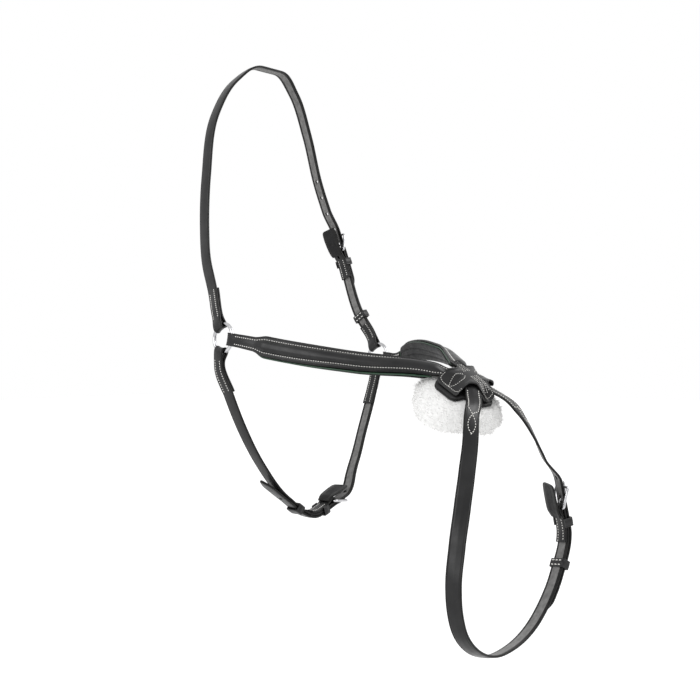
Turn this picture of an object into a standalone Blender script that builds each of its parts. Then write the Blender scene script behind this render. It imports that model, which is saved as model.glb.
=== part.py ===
"""Figure eight noseband in leather with steel rings and buckles.

The horse faces -Y and its left, or near, side is +X. The origin is the middle of the headstrap's
underside at the poll. All sizes are in metres.
"""

import math

import bmesh
import bpy
from mathutils import Matrix, Vector

# Places of the rings, the crossing and the two hanging loops
POLL_TO_RINGS = 0.3195
NEAR_RING_DROP = 0.0195
RINGS_FORWARD = 0.0647
RING_HALF_SPREAD = 0.1154
ROSETTE_OFFSET = -0.004
ROSETTE_FORWARD = 0.293
ROSETTE_DROP = 0.351
JAW_DROP = 0.176
JAW_FORWARD = 0.0203
LOWER_DROP = 0.2438
LOWER_FORWARD = 0.051
LOWER_HALF_WIDTH = 0.08
SEAT_HALF_LENGTH = 0.014
OFF_NOSE_RISE = -0.0025
NEAR_NOSE_RISE = 0.0118
NOSE_BOW = 0.015

# The way each strap leaves the rings, in degrees up from straight forward
HEAD_TURN_ANGLE = 118
JAW_TURN_ANGLE = -98
NOSE_TURN_ANGLE = -7

# Leather straps
STRAP_WIDTH = 0.015
STRAP_THICKNESS = 0.0026
STRAP_CROWN = 0.0004
TURN_WIDTH = 0.013
LAYER_GAP = 0.0003
TURN_LENGTH = 0.044
NOSE_TURN_LENGTH = 0.0285
TURN_SETTLE = 0.013
TIP_LENGTH = 0.013
RING_LEAD = 0.011
HOLE_DIAMETER = 0.0042
HOLE_SPACING = 0.0205
STEP_ALONG = 0.012
CUT_OVERRUN = 0.002

# Raised nose straps with their filler, lining and piping
NOSE_WIDTH = 0.021
RAISE_HEIGHT = 0.0038
RAISE_START = 0.03
RAISE_RUN = 0.014
RAISE_STOP = 0.02
FILLER_WIDTH = 0.01
FILLER_GAP = 0.0004
PADDING_DEPTH = 0.0048
PADDING_TAPER = 0.006
PIPING_DIAMETER = 0.0018

# Steel rings
RING_RADIUS = 0.01475
RING_WIRE_RADIUS = 0.0019
RING_FOLD_GAP = 0.0006

# Buckles, guards and keepers
BAR_RADIUS = 0.0014
BAR_FOLD_GAP = 0.0004
BUCKLE_LENGTH = 0.021
BUCKLE_INNER_WIDTH = 0.0172
BUCKLE_CORNER = 0.0028
TONGUE_RADIUS = 0.0009
TONGUE_SLOT_WIDTH = 0.0032
TONGUE_HOLE_LENGTH = 0.0085
TONGUE_HOLE_WIDTH = 0.0034
BUCKLE_TURN_LENGTH = 0.034
GUARD_WIDTH = 0.0235
GUARD_THICKNESS = 0.002
GUARD_REACH = 0.0255
GUARD_TAIL = 0.033
KEEPER_THICKNESS = 0.0015
KEEPER_LENGTH = 0.0085
KEEPER_SIDE_GAP = 0.0004
KEEPER_RUN_GAP = 0.0007
KEEPER_FLAT = 0.0085
FIXED_KEEPER_BACK = 0.0145
CHEEK_BAR_UP = 0.127
CHEEK_TAIL = 0.048
CHEEK_TURN_LENGTH = 0.029
CHEEK_KEEPER_BACK = 0.086
JAW_BAR_REACH = 0.0222
JAW_TAIL = 0.105
JAW_KEEPER_BACK = 0.051
LOWER_BAR_BACK = 0.0185
LOWER_TAIL = 0.103
LOWER_KEEPER_BACK = 0.054
BILLET_APPROACH = 0.028

# Rosette over the sheepskin
ROSETTE_SLOPE = math.radians(30)
ROSETTE_ROLL = math.radians(6)
CROSS_HALF_ANGLE = math.radians(34)
ROSETTE_ENTRY = 0.033
ROSETTE_EXIT = 0.0315
NOSE_BEND = 0.065
CROSS_HUMP = 0.013
COVER_ARM = 0.031
COVER_STEPS = 12
MOUTH_HALF_ANGLE = math.radians(24)
MOUTH_DEPTH = 0.0125
COVER_THICKNESS = 0.0016
COVER_GAP = 0.0009
COVER_FALL = 0.009
BASE_REACH = 0.0315
BASE_SCALLOP = 0.005
BASE_THICKNESS = 0.004
BASE_STEPS = 8
PAD_RADIUS = 0.044
PAD_FALL = 0.023
PAD_THICKNESS = 0.008
PAD_STEPS = 10

# Wall, mesh and line detail
SEAT_GAP = 0.0003
LINE_STEP = 0.003
WELD_GAP = 0.00001

PAIR = STRAP_THICKNESS + LAYER_GAP
RING_FOLD = RING_WIRE_RADIUS + RING_FOLD_GAP + STRAP_THICKNESS / 2
BAR_FOLD = BAR_RADIUS + BAR_FOLD_GAP + STRAP_THICKNESS / 2
BILLET_LIFT = BAR_FOLD + PAIR
FAR_BAR_LIFT = BILLET_LIFT + STRAP_THICKNESS / 2 + SEAT_GAP + BAR_RADIUS
BUCKLE_TILT = math.asin(FAR_BAR_LIFT / BUCKLE_LENGTH)


def mix(first, second, share):
    return first + (second - first) * share


def ease(share):
    share = min(max(share, 0), 1)
    return share * share * (3 - 2 * share)


class Line:
    """A smooth line through stations of (place, facing, heading or None), facing the strap's outer side."""

    def __init__(self, stations, flats=(), seat=()):
        places = [station[0] for station in stations]
        facings = [station[1].normalized() for station in stations]
        gaps = [(after - before).length for before, after in zip(places, places[1:])]
        slopes = []
        for index, station in enumerate(stations):
            if station[2] is not None:
                slopes.append(station[2].normalized())
                continue
            before = max(index - 1, 0)
            after = min(index, len(gaps) - 1)
            first = (places[before + 1] - places[before]) / gaps[before]
            second = (places[after + 1] - places[after]) / gaps[after]
            slopes.append((first * gaps[after] + second * gaps[before]).normalized())
        self.places = []
        self.facings = []
        marks = []
        for index, gap in enumerate(gaps):
            count = max(2, round(gap / LINE_STEP))
            marks.append(len(self.places))
            for step in range(count):
                share = step / count
                self.places.append(hermite(places[index], slopes[index] * gap,
                                           places[index + 1], slopes[index + 1] * gap, share))
                self.facings.append(facings[index].lerp(facings[index + 1], ease(share)))
        marks.append(len(self.places))
        self.places.append(places[-1])
        self.facings.append(facings[-1])
        self.distances = [0.0]
        for before, after in zip(self.places, self.places[1:]):
            self.distances.append(self.distances[-1] + (after - before).length)
        self.marks = [self.distances[mark] for mark in marks]
        self.length = self.distances[-1]
        self.ends = (slopes[0], slopes[-1])
        self.flats = [self.marks[index] for index in flats]
        self.seat = [self.marks[index] for index in seat]

    def at(self, distance):
        """The place and the along, across and out directions at a distance from the line's start."""
        last = len(self.places) - 1
        index = 0
        while index < last - 1 and self.distances[index + 1] < distance:
            index += 1
        span = self.distances[index + 1] - self.distances[index]
        share = (distance - self.distances[index]) / span
        if 0 <= share <= 1:
            place = self.places[index].lerp(self.places[index + 1], share)
        elif share < 0:
            place = self.places[0] + self.ends[0] * distance
        else:
            place = self.places[-1] + self.ends[1] * (distance - self.length)
        share = min(max(share, 0), 1)
        along = self.tangent(index).lerp(self.tangent(index + 1), share).normalized()
        facing = self.facings[index].lerp(self.facings[index + 1], share)
        out = (facing - along * facing.dot(along)).normalized()
        return place, along, along.cross(out), out

    def tangent(self, index):
        if index == 0:
            return self.ends[0]
        if index == len(self.places) - 1:
            return self.ends[1]
        return (self.places[index + 1] - self.places[index - 1]).normalized()

    def frame(self, distance, lift):
        """A matrix with X along the line, Y across it and Z out of it, lifted off the line."""
        place, along, across, out = self.at(distance)
        matrix = Matrix((along, out.cross(along), out)).transposed().to_4x4()
        matrix.translation = place + out * lift
        return matrix


def hermite(start, start_slope, end, end_slope, share):
    square = share * share
    cube = square * share
    return (start * (2 * cube - 3 * square + 1) + start_slope * (cube - 2 * square + share)
            + end * (3 * square - 2 * cube) + end_slope * (cube - square))


class Slice:
    """One cross section of a strap: its centre, the way across, its half width and its shape."""

    def __init__(self, centre, across, half_width, bow=None, lift=0.0):
        self.centre = centre
        self.across = across
        self.half_width = half_width
        self.bow = bow or Vector()
        self.lift = lift


FINISHES = {
    "leather": ((0.012, 0.012, 0.013, 1.0), 0.42, 0.0),
    "lining": ((0.02, 0.02, 0.021, 1.0), 0.7, 0.0),
    "steel": ((0.62, 0.62, 0.63, 1.0), 0.22, 1.0),
    "piping": ((0.01, 0.05, 0.015, 1.0), 0.5, 0.0),
    "fleece": ((0.86, 0.85, 0.82, 1.0), 0.95, 0.0),
    "felt": ((0.05, 0.05, 0.05, 1.0), 0.9, 0.0),
}


def finish(item, name, look, parts, origin=None):
    """Names an object, gives it its own material, sets its origin and files it with the parts."""
    colour, roughness, metallic = FINISHES[look]
    item.name = name
    item.data.name = name
    made = bpy.data.materials.new(name + "_" + look)
    made.use_nodes = True
    shader = made.node_tree.nodes["Principled BSDF"]
    shader.inputs["Base Color"].default_value = colour
    shader.inputs["Roughness"].default_value = roughness
    shader.inputs["Metallic"].default_value = metallic
    made.diffuse_color = colour
    item.data.materials.clear()
    item.data.materials.append(made)
    if origin is not None:
        item.data.transform(Matrix.Translation(-origin))
        item.location = origin
    for collection in list(item.users_collection):
        collection.objects.unlink(item)
    parts.objects.link(item)
    return item


def mesh_object(mesh, name):
    data = bpy.data.meshes.new(name)
    bmesh.ops.recalc_face_normals(mesh, faces=mesh.faces)
    if mesh.calc_volume(signed=True) < 0:
        bmesh.ops.reverse_faces(mesh, faces=mesh.faces)
    mesh.to_mesh(data)
    mesh.free()
    item = bpy.data.objects.new(name, data)
    bpy.context.scene.collection.objects.link(item)
    data.shade_smooth()
    data.set_sharp_from_angle(angle=math.radians(40))
    return item


def curve_solid(curve, name, matrix):
    """Turns a curve into a welded closed mesh object at a place, and removes the curve."""
    holder = bpy.data.objects.new(name + "_curve", curve)
    bpy.context.scene.collection.objects.link(holder)
    bpy.context.view_layer.update()
    evaluated = holder.evaluated_get(bpy.context.evaluated_depsgraph_get())
    data = bpy.data.meshes.new_from_object(evaluated)
    mesh = bmesh.new()
    mesh.from_mesh(data)
    bmesh.ops.remove_doubles(mesh, verts=mesh.verts, dist=WELD_GAP)
    bmesh.ops.transform(mesh, matrix=matrix, verts=mesh.verts)
    bpy.data.objects.remove(holder)
    bpy.data.curves.remove(curve)
    bpy.data.meshes.remove(data)
    return mesh_object(mesh, name)


def wire(points, radius, name, matrix, closed=False, fineness=2):
    """A round bar bent through the points."""
    curve = bpy.data.curves.new(name, "CURVE")
    curve.dimensions = "3D"
    curve.bevel_depth = radius
    curve.bevel_resolution = fineness
    curve.use_fill_caps = True
    spline = curve.splines.new("POLY")
    spline.points.add(len(points) - 1)
    for point, place in zip(spline.points, points):
        point.co = (*place, 1.0)
    spline.use_cyclic_u = closed
    return curve_solid(curve, name, matrix)


def plate(outlines, thickness, name, matrix):
    """A flat plate from closed outlines in the XY plane; an outline inside another is a hole."""
    curve = bpy.data.curves.new(name, "CURVE")
    curve.dimensions = "2D"
    curve.fill_mode = "BOTH"
    curve.extrude = thickness / 2
    for outline in outlines:
        spline = curve.splines.new("POLY")
        spline.points.add(len(outline) - 1)
        for point, (x, y) in zip(spline.points, outline):
            point.co = (x, y, 0.0, 1.0)
        spline.use_cyclic_u = True
    return curve_solid(curve, name, matrix)


def rounded_box(half_x, half_y, corner, steps=3):
    points = []
    for quarter, (side_x, side_y) in enumerate(((1, 1), (-1, 1), (-1, -1), (1, -1))):
        centre = Vector((side_x * (half_x - corner), side_y * (half_y - corner)))
        for step in range(steps + 1):
            angle = math.radians(90) * (quarter + step / steps)
            points.append(centre + corner * Vector((math.cos(angle), math.sin(angle))))
    return points


def blank(along, across):
    """A unit bar cut into even steps along X and across Y, ready to be bent to shape."""
    mesh = bmesh.new()
    bmesh.ops.create_cube(mesh, size=1)
    for axis, steps in ((0, along), (1, across)):
        if steps > 1:
            long_edges = [edge for edge in mesh.edges
                          if abs(edge.verts[0].co[axis] - edge.verts[1].co[axis]) * 2 > 1]
            bmesh.ops.subdivide_edges(mesh, edges=long_edges, cuts=steps - 1, use_grid_fill=True)
    return mesh


def lay(slices, lanes, heights, name):
    """Bends a blank through the slices; heights gives the lower and upper face at each lane."""
    count = len(slices) - 1
    spaces = len(lanes) - 1
    outs = []
    for index, section in enumerate(slices):
        before = slices[max(index - 1, 0)].centre
        after = slices[min(index + 1, count)].centre
        outs.append(section.across.cross(after - before).normalized())
    mesh = blank(count, spaces)
    for vert in mesh.verts:
        index = round((vert.co.x + 0.5) * count)
        lane = lanes[round((vert.co.y + 0.5) * spaces)]
        section = slices[index]
        side = lane[0] * section.half_width
        height = heights(section, lane)[1 if vert.co.z > 0 else 0]
        sag = RING_RADIUS - math.sqrt(max(RING_RADIUS ** 2 - side ** 2, 0))
        vert.co = section.centre + section.across * side + outs[index] * height + section.bow * sag
    return mesh_object(mesh, name)


# Lanes across a piece: the place as a share of its half width, and the shape's height there as a share
PLAIN_LANE_SHARES = ((-1, 0), (0, 0), (1, 0))
RAISED_LANE_SHARES = ((-1, 0), (-0.56, 0), (-0.33, 0.88), (0, 1), (0.33, 0.88), (0.56, 0), (1, 0))
FILLER_LANE_SHARES = ((-1, 0.15), (-0.62, 0.85), (0, 1), (0.62, 0.85), (1, 0.15))
PADDING_LANE_SHARES = ((-1, 0.35), (-0.62, 0.85), (0, 1), (0.62, 0.85), (1, 0.35))


def strap_heights(section, lane):
    lane_share, raise_share = lane
    raised = raise_share * section.lift
    return raised - STRAP_THICKNESS / 2, raised + STRAP_THICKNESS / 2 - STRAP_CROWN * abs(lane_share)


def even_steps(start, end, size):
    count = max(1, round(abs(end - start) / size))
    return [mix(start, end, step / count) for step in range(count + 1)]


class Turn:
    """A strap's end turned round a ring's wire or a buckle's bar and stitched down on its inner side."""

    def __init__(self, at, fold, lean, length, narrow, bowed):
        self.at = at
        self.fold = fold
        self.lean = lean
        self.length = length
        self.narrow = narrow
        self.bowed = bowed

    def outer_lift(self, distance):
        return mix(self.fold, self.lean + PAIR / 2, ease(distance / TURN_SETTLE))


class Tail:
    """A strap's free end, at a distance along the line, with a pointed tip."""

    def __init__(self, at):
        self.at = at


def ring_turn(at, length=TURN_LENGTH):
    return Turn(at, RING_FOLD, 0.0, length, TURN_WIDTH, True)


def bar_turn(at):
    return Turn(at, BAR_FOLD, BAR_FOLD - PAIR / 2, BUCKLE_TURN_LENGTH, STRAP_WIDTH, False)


class Strap:
    """A strap that follows a line from its turned first end to its last end, turned or free."""

    def __init__(self, line, first, last, buckled=None, crossing=None):
        self.line = line
        self.first = first
        self.last = last
        self.heading = 1 if last.at > first.at else -1
        self.buckled = buckled
        self.crossing = crossing
        self.stops = line.flats + line.seat
        if crossing is not None:
            self.stops += self.raise_marks()

    def lift(self, at):
        """How far the strap's mid layer lies outside the line."""
        gone = abs(at - self.first.at)
        if self.buckled is None:
            run = abs(self.last.at - self.first.at)
            middle = ease((gone / run - 0.25) * 2)
            return mix(self.first.outer_lift(gone), self.last.outer_lift(run - gone), middle)
        past = (at - self.buckled.last.at) * self.heading
        if past >= 0:
            return self.buckled.lift(at) + PAIR
        approach = ease(1 + (past + BUCKLE_LENGTH + BAR_FOLD) / BILLET_APPROACH)
        return mix(self.first.outer_lift(gone), BILLET_LIFT, approach)

    def raise_marks(self):
        """Where the raised centre starts, is full, starts to fall and has gone."""
        start = self.first.at + self.heading * RAISE_START
        stop = self.crossing - self.heading * RAISE_STOP
        return [start, start + self.heading * RAISE_RUN, stop - self.heading * RAISE_RUN, stop]

    def raise_at(self, at):
        """The height of the raised centre, on a strap that crosses at the rosette."""
        if self.crossing is None or abs(at - self.first.at) > abs(self.crossing - self.first.at):
            return 0.0
        gone = abs(at - self.first.at) - RAISE_START
        left = abs(at - self.crossing) - RAISE_STOP
        return RAISE_HEIGHT * ease(gone / RAISE_RUN) * ease(left / RAISE_RUN)

    def half_width(self, at):
        width = STRAP_WIDTH
        for end in (self.first, self.last):
            gone = abs(at - end.at)
            if isinstance(end, Turn):
                width = min(width, mix(end.narrow, STRAP_WIDTH, ease(gone / TURN_LENGTH)))
            elif gone < TIP_LENGTH:
                width = STRAP_WIDTH * mix(0.2, 1, math.sin(math.radians(90) * gone / TIP_LENGTH))
        wide = (NOSE_WIDTH - STRAP_WIDTH) * self.raise_at(at) / RAISE_HEIGHT
        return (width + wide) / 2

    def section(self, at, lift, bow=None):
        place, along, across, out = self.line.at(at)
        centre = place + out * lift
        return Slice(centre, across * self.heading, self.half_width(at), bow, self.raise_at(at))

    def turned(self, turn, heading):
        """Slices from the stitched-down end to the wire, round it, and out on the outer side."""
        away, out = (self.line.at(turn.at)[index] for index in (1, 3))
        away = away * heading
        near_shares = (0.7, 0.4, 0.2)

        def leg(gone, inner):
            at = turn.at + heading * gone
            lift = self.lift(at)
            if inner:
                lift = mix(-turn.fold, lift - PAIR, ease(gone / TURN_SETTLE))
            bow = -away * ease(1 - gone / TURN_SETTLE) if turn.bowed else None
            return self.section(at, lift, bow)

        slices = [leg(gone, True) for gone in even_steps(turn.length, TURN_SETTLE, STEP_ALONG)]
        slices += [leg(TURN_SETTLE * share, True) for share in near_shares]
        steps = 7
        for step in range(steps + 1):
            angle = math.pi * (step / steps) - math.pi / 2
            bend = self.section(turn.at, 0.0, -away if turn.bowed else None)
            bend.centre += turn.fold * (out * math.sin(angle) - away * math.cos(angle))
            slices.append(bend)
        slices += [leg(TURN_SETTLE * share, False) for share in reversed(near_shares)]
        return slices

    def slices(self):
        start = self.first.at + self.heading * TURN_SETTLE
        slices = self.turned(self.first, self.heading)
        if isinstance(self.last, Turn):
            end = self.last.at - self.heading * TURN_SETTLE
            tips = []
        else:
            end = self.last.at - self.heading * TIP_LENGTH
            tips = [self.last.at - self.heading * TIP_LENGTH * share for share in (0.6, 0.3, 0.1, 0)]
        stops = [mark for mark in self.stops if (mark - start) * (end - mark) > 0]
        places = [start]
        for stop in sorted(stops, key=lambda mark: abs(mark - start)) + [end]:
            places += even_steps(places[-1], stop, STEP_ALONG)[1:]
        if self.line.seat:
            low, high = self.line.seat
            places = [at for at in places if not low < at < high]
        slices += [self.section(at, self.lift(at)) for at in places + tips]
        if isinstance(self.last, Turn):
            slices += reversed(self.turned(self.last, -self.heading))
        return slices

    def make(self, name, parts):
        lanes = PLAIN_LANE_SHARES if self.crossing is None else RAISED_LANE_SHARES
        return finish(lay(self.slices(), lanes, strap_heights, name), name, "leather", parts)


def ring_stations(centre, axle, upward, side, degrees):
    """The start of a strap at a ring, turned up from straight forward by some degrees."""
    forward = axle.cross(upward)
    away = forward * math.cos(math.radians(degrees)) + upward * math.sin(math.radians(degrees))
    wire_at = centre + away * RING_RADIUS
    return [(wire_at, axle * side, away), (wire_at + away * RING_LEAD, axle * side, None)]


def there_and_back(stations):
    return [(place, facing, -heading if heading else None)
            for place, facing, heading in reversed(stations)]


def straighten(stations, index):
    """Makes the line run straight from one station to the next."""
    heading = stations[index + 1][0] - stations[index][0]
    for straight in (index, index + 1):
        stations[straight] = (stations[straight][0], stations[straight][1], heading)


# Up each cheek to the poll, as shares of the half spread, the rings' reach forward and the drop
OFF_CHEEK_SHARES = ((0.915, 0.55, 0.84), (0.86, 0.24, 0.726), (0.795, 0.04, 0.62), (0.705, -0.13, 0.42),
                    (0.59, -0.15, 0.194), (0.37, -0.09, 0.06))
NEAR_CHEEK_SHARES = ((0.98, 0.55, 0.852), (0.93, 0.15, 0.64), (0.85, 0, 0.51), (0.72, -0.11, 0.36),
                     (0.585, -0.15, 0.19), (0.37, -0.09, 0.055))
# Round the jaw, as shares of the half spread, the jaw's reach forward and its drop below the rings
JAW_SHARES = ((-0.945, 0.14, 0.33), (-0.85, 0.46, 0.51), (-0.667, 0.73, 0.72), (-0.38, 0.88, 0.915),
              (-0.03, 0.95, 1.005), (0.34, 0.75, 0.895), (0.585, 0.31, 0.71), (0.763, -0.04, 0.504),
              (0.9, -0.13, 0.29))
# The lower loop, as shares of its half width, its reach forward and its drop below the rosette
NEAR_LOWER_SHARES = ((0.44, 0.61, 0.115), (0.58, 0.69, 0.178), (0.785, 0.79, 0.298), (0.98, 0.86, 0.417),
                     (1.07, 0.925, 0.58))
BOTTOM_SHARES = ((0.885, 0.95, 0.752), (0.61, 0.97, 0.859), (0.31, 0.99, 0.928), (-0.08, 1, 0.97),
                 (-0.41, 1, 0.974), (-0.7, 1, 0.936), (-0.905, 1, 0.869), (-1.0, 1, 0.786),
                 (-1.01, 0.98, 0.703), (-0.92, 0.93, 0.57), (-0.79, 0.87, 0.436), (-0.66, 0.79, 0.328),
                 (-0.52, 0.69, 0.217), (-0.4, 0.57, 0.119))
# Along the nose from a ring, as a share of the way, with the facing there
NOSE_SHARES = ((0.31, (1, -0.35, 0.25)), (0.67, (0.75, -0.4, 0.6)))


def head_line(off_ring, near_ring, axle, upward):
    """From the off ring over the poll to the near ring."""
    level = Vector((1, 0, 0))
    seat = Vector((0, 0, STRAP_THICKNESS / 2 - PAIR / 2))
    sides = []
    for ring_at, side, cheek_shares in ((off_ring, -1, OFF_CHEEK_SHARES), (near_ring, 1, NEAR_CHEEK_SHARES)):
        stations = ring_stations(ring_at, axle, upward, side, HEAD_TURN_ANGLE)
        for x, y, z in cheek_shares:
            place = Vector((side * x * RING_HALF_SPREAD, -y * RINGS_FORWARD, z * ring_at.z))
            stations.append((place, Vector((side, 0, (1 - z) ** 3 * 2)), None))
        stations.append((seat + level * side * SEAT_HALF_LENGTH, upward.project(Vector((0, 0, 1))),
                         -level * side))
        sides.append(stations)
    straighten(sides[1], 3)
    return Line(sides[0] + there_and_back(sides[1]), flats=(13, 14), seat=(8, 9))


def jaw_line(off_ring, near_ring, axle, upward):
    """From the off ring under the jaw to the near ring."""
    stations = ring_stations(off_ring, axle, upward, -1, JAW_TURN_ANGLE)
    for x, y, z in JAW_SHARES:
        place = off_ring.lerp(near_ring, (x + 1) / 2) - Vector((0, y * JAW_FORWARD, z * JAW_DROP))
        stations.append((place, Vector((x, 0, -z ** 3)), None))
    straighten(stations, 6)
    stations += there_and_back(ring_stations(near_ring, axle, upward, 1, JAW_TURN_ANGLE))
    return Line(stations, flats=(6, 7))


def saddle(side):
    """How far the rosette bends down over the nose at a distance to its side."""
    return -side * side / (2 * NOSE_BEND)


def nose_line(off_ring, near_ring, axle, upward, rosette):
    """From the off ring through the rosette, round the lower loop, through it again to the near ring."""
    middle = rosette.translation
    down_nose, across_nose, out = (rosette.col[column].to_3d() for column in (0, 1, 2))
    branches = []
    for ring_at, side, rise, hump in ((off_ring, -1, OFF_NOSE_RISE, 0.0),
                                      (near_ring, 1, NEAR_NOSE_RISE, PAIR)):
        heading = (down_nose * math.cos(CROSS_HALF_ANGLE) - across_nose * side * math.sin(CROSS_HALF_ANGLE))
        stations = ring_stations(ring_at, axle, upward, side, NOSE_TURN_ANGLE)

        def passing(reach, height, headed):
            """A station under the rosette, bent down over the nose with it."""
            beside = -reach * side * math.sin(CROSS_HALF_ANGLE)
            place = middle + heading * reach + out * (height + saddle(beside))
            facing = out + across_nose * (beside / NOSE_BEND)
            slope = heading + out * (beside * side * math.sin(CROSS_HALF_ANGLE) / NOSE_BEND)
            return place, facing, slope if headed else None

        entry = passing(-ROSETTE_ENTRY, 0.0, False)
        for share, facing in NOSE_SHARES:
            arch = math.sin(math.pi * share)
            bow = Vector((side * NOSE_BOW * arch, -NOSE_BOW / 2 * arch, rise * arch))
            stations.append((ring_at.lerp(entry[0], share) + bow,
                             Vector((side * facing[0], *facing[1:])), None))
        stations.append(entry)
        for reach, height in ((-CROSS_HUMP, hump), (CROSS_HUMP, hump), (ROSETTE_EXIT, 0)):
            stations.append(passing(reach, height, True))
        branches.append(stations)
    lower = []
    for x, y, z in NEAR_LOWER_SHARES + BOTTOM_SHARES:
        place = middle + Vector((x * LOWER_HALF_WIDTH, -y * LOWER_FORWARD, -z * LOWER_DROP))
        facing = Vector((x, -0.2 - 1.1 * (1 - z) ** 2, 0.7 * (1 - z) ** 3 - 2.2 * max(z - 0.55, 0)))
        lower.append((place, facing, None))
    straighten(lower, 3)
    return Line(branches[0] + lower + there_and_back(branches[1]), flats=(11, 12))


def ring(name, centre, axle, parts):
    """A welded ring that turns about the line through both rings."""
    bpy.ops.mesh.primitive_torus_add(major_segments=30, minor_segments=8, major_radius=RING_RADIUS,
                                     minor_radius=RING_WIRE_RADIUS)
    item = bpy.context.object
    item.data.transform(axle.to_track_quat("Z", "Y").to_matrix().to_4x4())
    item.location = centre
    item.data.shade_smooth()
    return finish(item, name, "steel", parts)


def buckle(name, strap, parts):
    """A buckle frame and its tongue, hinged on the bar in the strap's turned end."""
    seat = strap.line.frame(strap.last.at, 0.0)
    if strap.heading < 0:
        seat = seat @ Matrix.Rotation(math.pi, 4, "Z")
    half_length = BUCKLE_LENGTH / 2
    half_width = BUCKLE_INNER_WIDTH / 2 + BAR_RADIUS
    outline = rounded_box(half_length, half_width, BUCKLE_CORNER)
    points = [(point.x + half_length, point.y, 0.0) for point in outline]
    tilt = Matrix.Rotation(-BUCKLE_TILT, 4, "Y")
    frame = wire(points, BAR_RADIUS, name + "_frame", seat @ tilt, closed=True)
    finish(frame, name + "_frame", "steel", parts, origin=seat.translation)
    eye = BAR_RADIUS + SEAT_GAP + TONGUE_RADIUS
    over = FAR_BAR_LIFT + BAR_RADIUS + SEAT_GAP + TONGUE_RADIUS
    steps = 8
    points = []
    for step in range(steps + 1):
        angle = math.radians(mix(330, 90, step / steps))
        points.append((eye * math.cos(angle), 0.0, eye * math.sin(angle)))
    for reach_share, rise_share in TONGUE_SHARES:
        points.append((BUCKLE_LENGTH * reach_share, 0.0, mix(eye, over, rise_share)))
    tongue = wire(points, TONGUE_RADIUS, name + "_tongue", seat, fineness=1)
    finish(tongue, name + "_tongue", "steel", parts, origin=seat.translation)
    return seat


# Where a tongue bends, as shares of the way to the far bar and of its rise over it
TONGUE_SHARES = ((0.17, 0), (0.27, 0.08), (0.34, 0.3), (0.44, 0.68), (0.54, 0.86), (0.75, 0.97), (1, 1),
                 (1.13, 0.98))
TONGUE_HOLE_SHARE = 0.36


def cut(item, name, length, width, depth, matrix, cutters):
    """Cuts a round-ended slot through a piece."""
    corner = width / 2 - WELD_GAP
    cutter = plate([rounded_box(length / 2, width / 2, corner, steps=2)], depth, name, matrix)
    for collection in list(cutter.users_collection):
        collection.objects.unlink(cutter)
    cutters.objects.link(cutter)
    cutter.hide_render = True
    cutter.display_type = "WIRE"
    boolean = item.modifiers.new("Cut " + name, "BOOLEAN")
    boolean.operation = "DIFFERENCE"
    boolean.solver = "EXACT"
    boolean.object = cutter


def punch(item, strap, before, after, cutters):
    """Punches a billet's holes before and after the drawn-out one that the tongue is through."""
    for number in range(-before, after + 1):
        reach = number * HOLE_SPACING - BUCKLE_LENGTH * TONGUE_HOLE_SHARE
        at = strap.buckled.last.at + strap.heading * reach
        length = HOLE_DIAMETER if number else TONGUE_HOLE_LENGTH
        width = HOLE_DIAMETER if number else TONGUE_HOLE_WIDTH
        matrix = strap.line.frame(at, strap.lift(at))
        name = item.name + "_hole_" + str(number + before)
        cut(item, name, length, width, STRAP_THICKNESS + CUT_OVERRUN, matrix, cutters)


def guard(name, strap, parts):
    """The leather shield behind a buckle, stitched under the turned end and widest at the bar."""
    slices = []
    for share, width_share in GUARD_SHARES:
        gone = mix(-GUARD_TAIL, GUARD_REACH, share)
        back = max(-gone, 0)
        above = mix(-strap.last.fold, strap.lift(strap.last.at - strap.heading * back) - PAIR,
                    ease(back / TURN_SETTLE))
        lift = above - STRAP_THICKNESS / 2 - LAYER_GAP - GUARD_THICKNESS / 2
        place, along, across, out = strap.line.at(strap.last.at + strap.heading * gone)
        half_width = GUARD_WIDTH / 2 * width_share
        slices.append(Slice(place + out * lift, across * strap.heading, half_width))

    def heights(section, lane):
        return -GUARD_THICKNESS / 2, GUARD_THICKNESS / 2 - STRAP_CROWN * abs(lane[0])

    return finish(lay(slices, PLAIN_LANE_SHARES, heights, name), name, "leather", parts)


# A guard's width as a share of the widest, along its length from the stitched tail to the round end
GUARD_SHARES = ((0, 0.6), (0.25, 0.64), (0.42, 0.72), (0.55, 0.9), (0.68, 1), (0.82, 0.98),
                (0.92, 0.8), (0.975, 0.5), (1, 0.25))


def keeper_matrix(line, at):
    """Lays a plate across the line, its X across, its Y out and its Z along."""
    place, along, across, out = line.at(at)
    matrix = Matrix((across, out, across.cross(out))).transposed().to_4x4()
    matrix.translation = place
    return matrix


def fixed_keeper(name, strap, parts):
    """The leather arch sewn to the strap's edges behind the buckle, over the billet."""
    at = strap.last.at - strap.heading * FIXED_KEEPER_BACK
    inner = STRAP_WIDTH / 2 + KEEPER_SIDE_GAP
    outer = inner + KEEPER_THICKNESS
    top = strap.lift(at) + PAIR + STRAP_THICKNESS / 2 + KEEPER_SIDE_GAP
    foot = strap.lift(at) - PAIR - STRAP_THICKNESS / 2
    corner = KEEPER_THICKNESS
    over = top + KEEPER_THICKNESS
    outline = [(outer, foot), (outer, over - corner), (outer - corner / 3, over - corner / 3),
               (outer - corner, over), (corner - outer, over), (corner / 3 - outer, over - corner / 3),
               (-outer, over - corner), (-outer, foot), (-inner, foot), (-inner, top), (inner, top),
               (inner, foot)]
    item = plate([outline], KEEPER_LENGTH, name, keeper_matrix(strap.line, at))
    return finish(item, name, "leather", parts)


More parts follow.
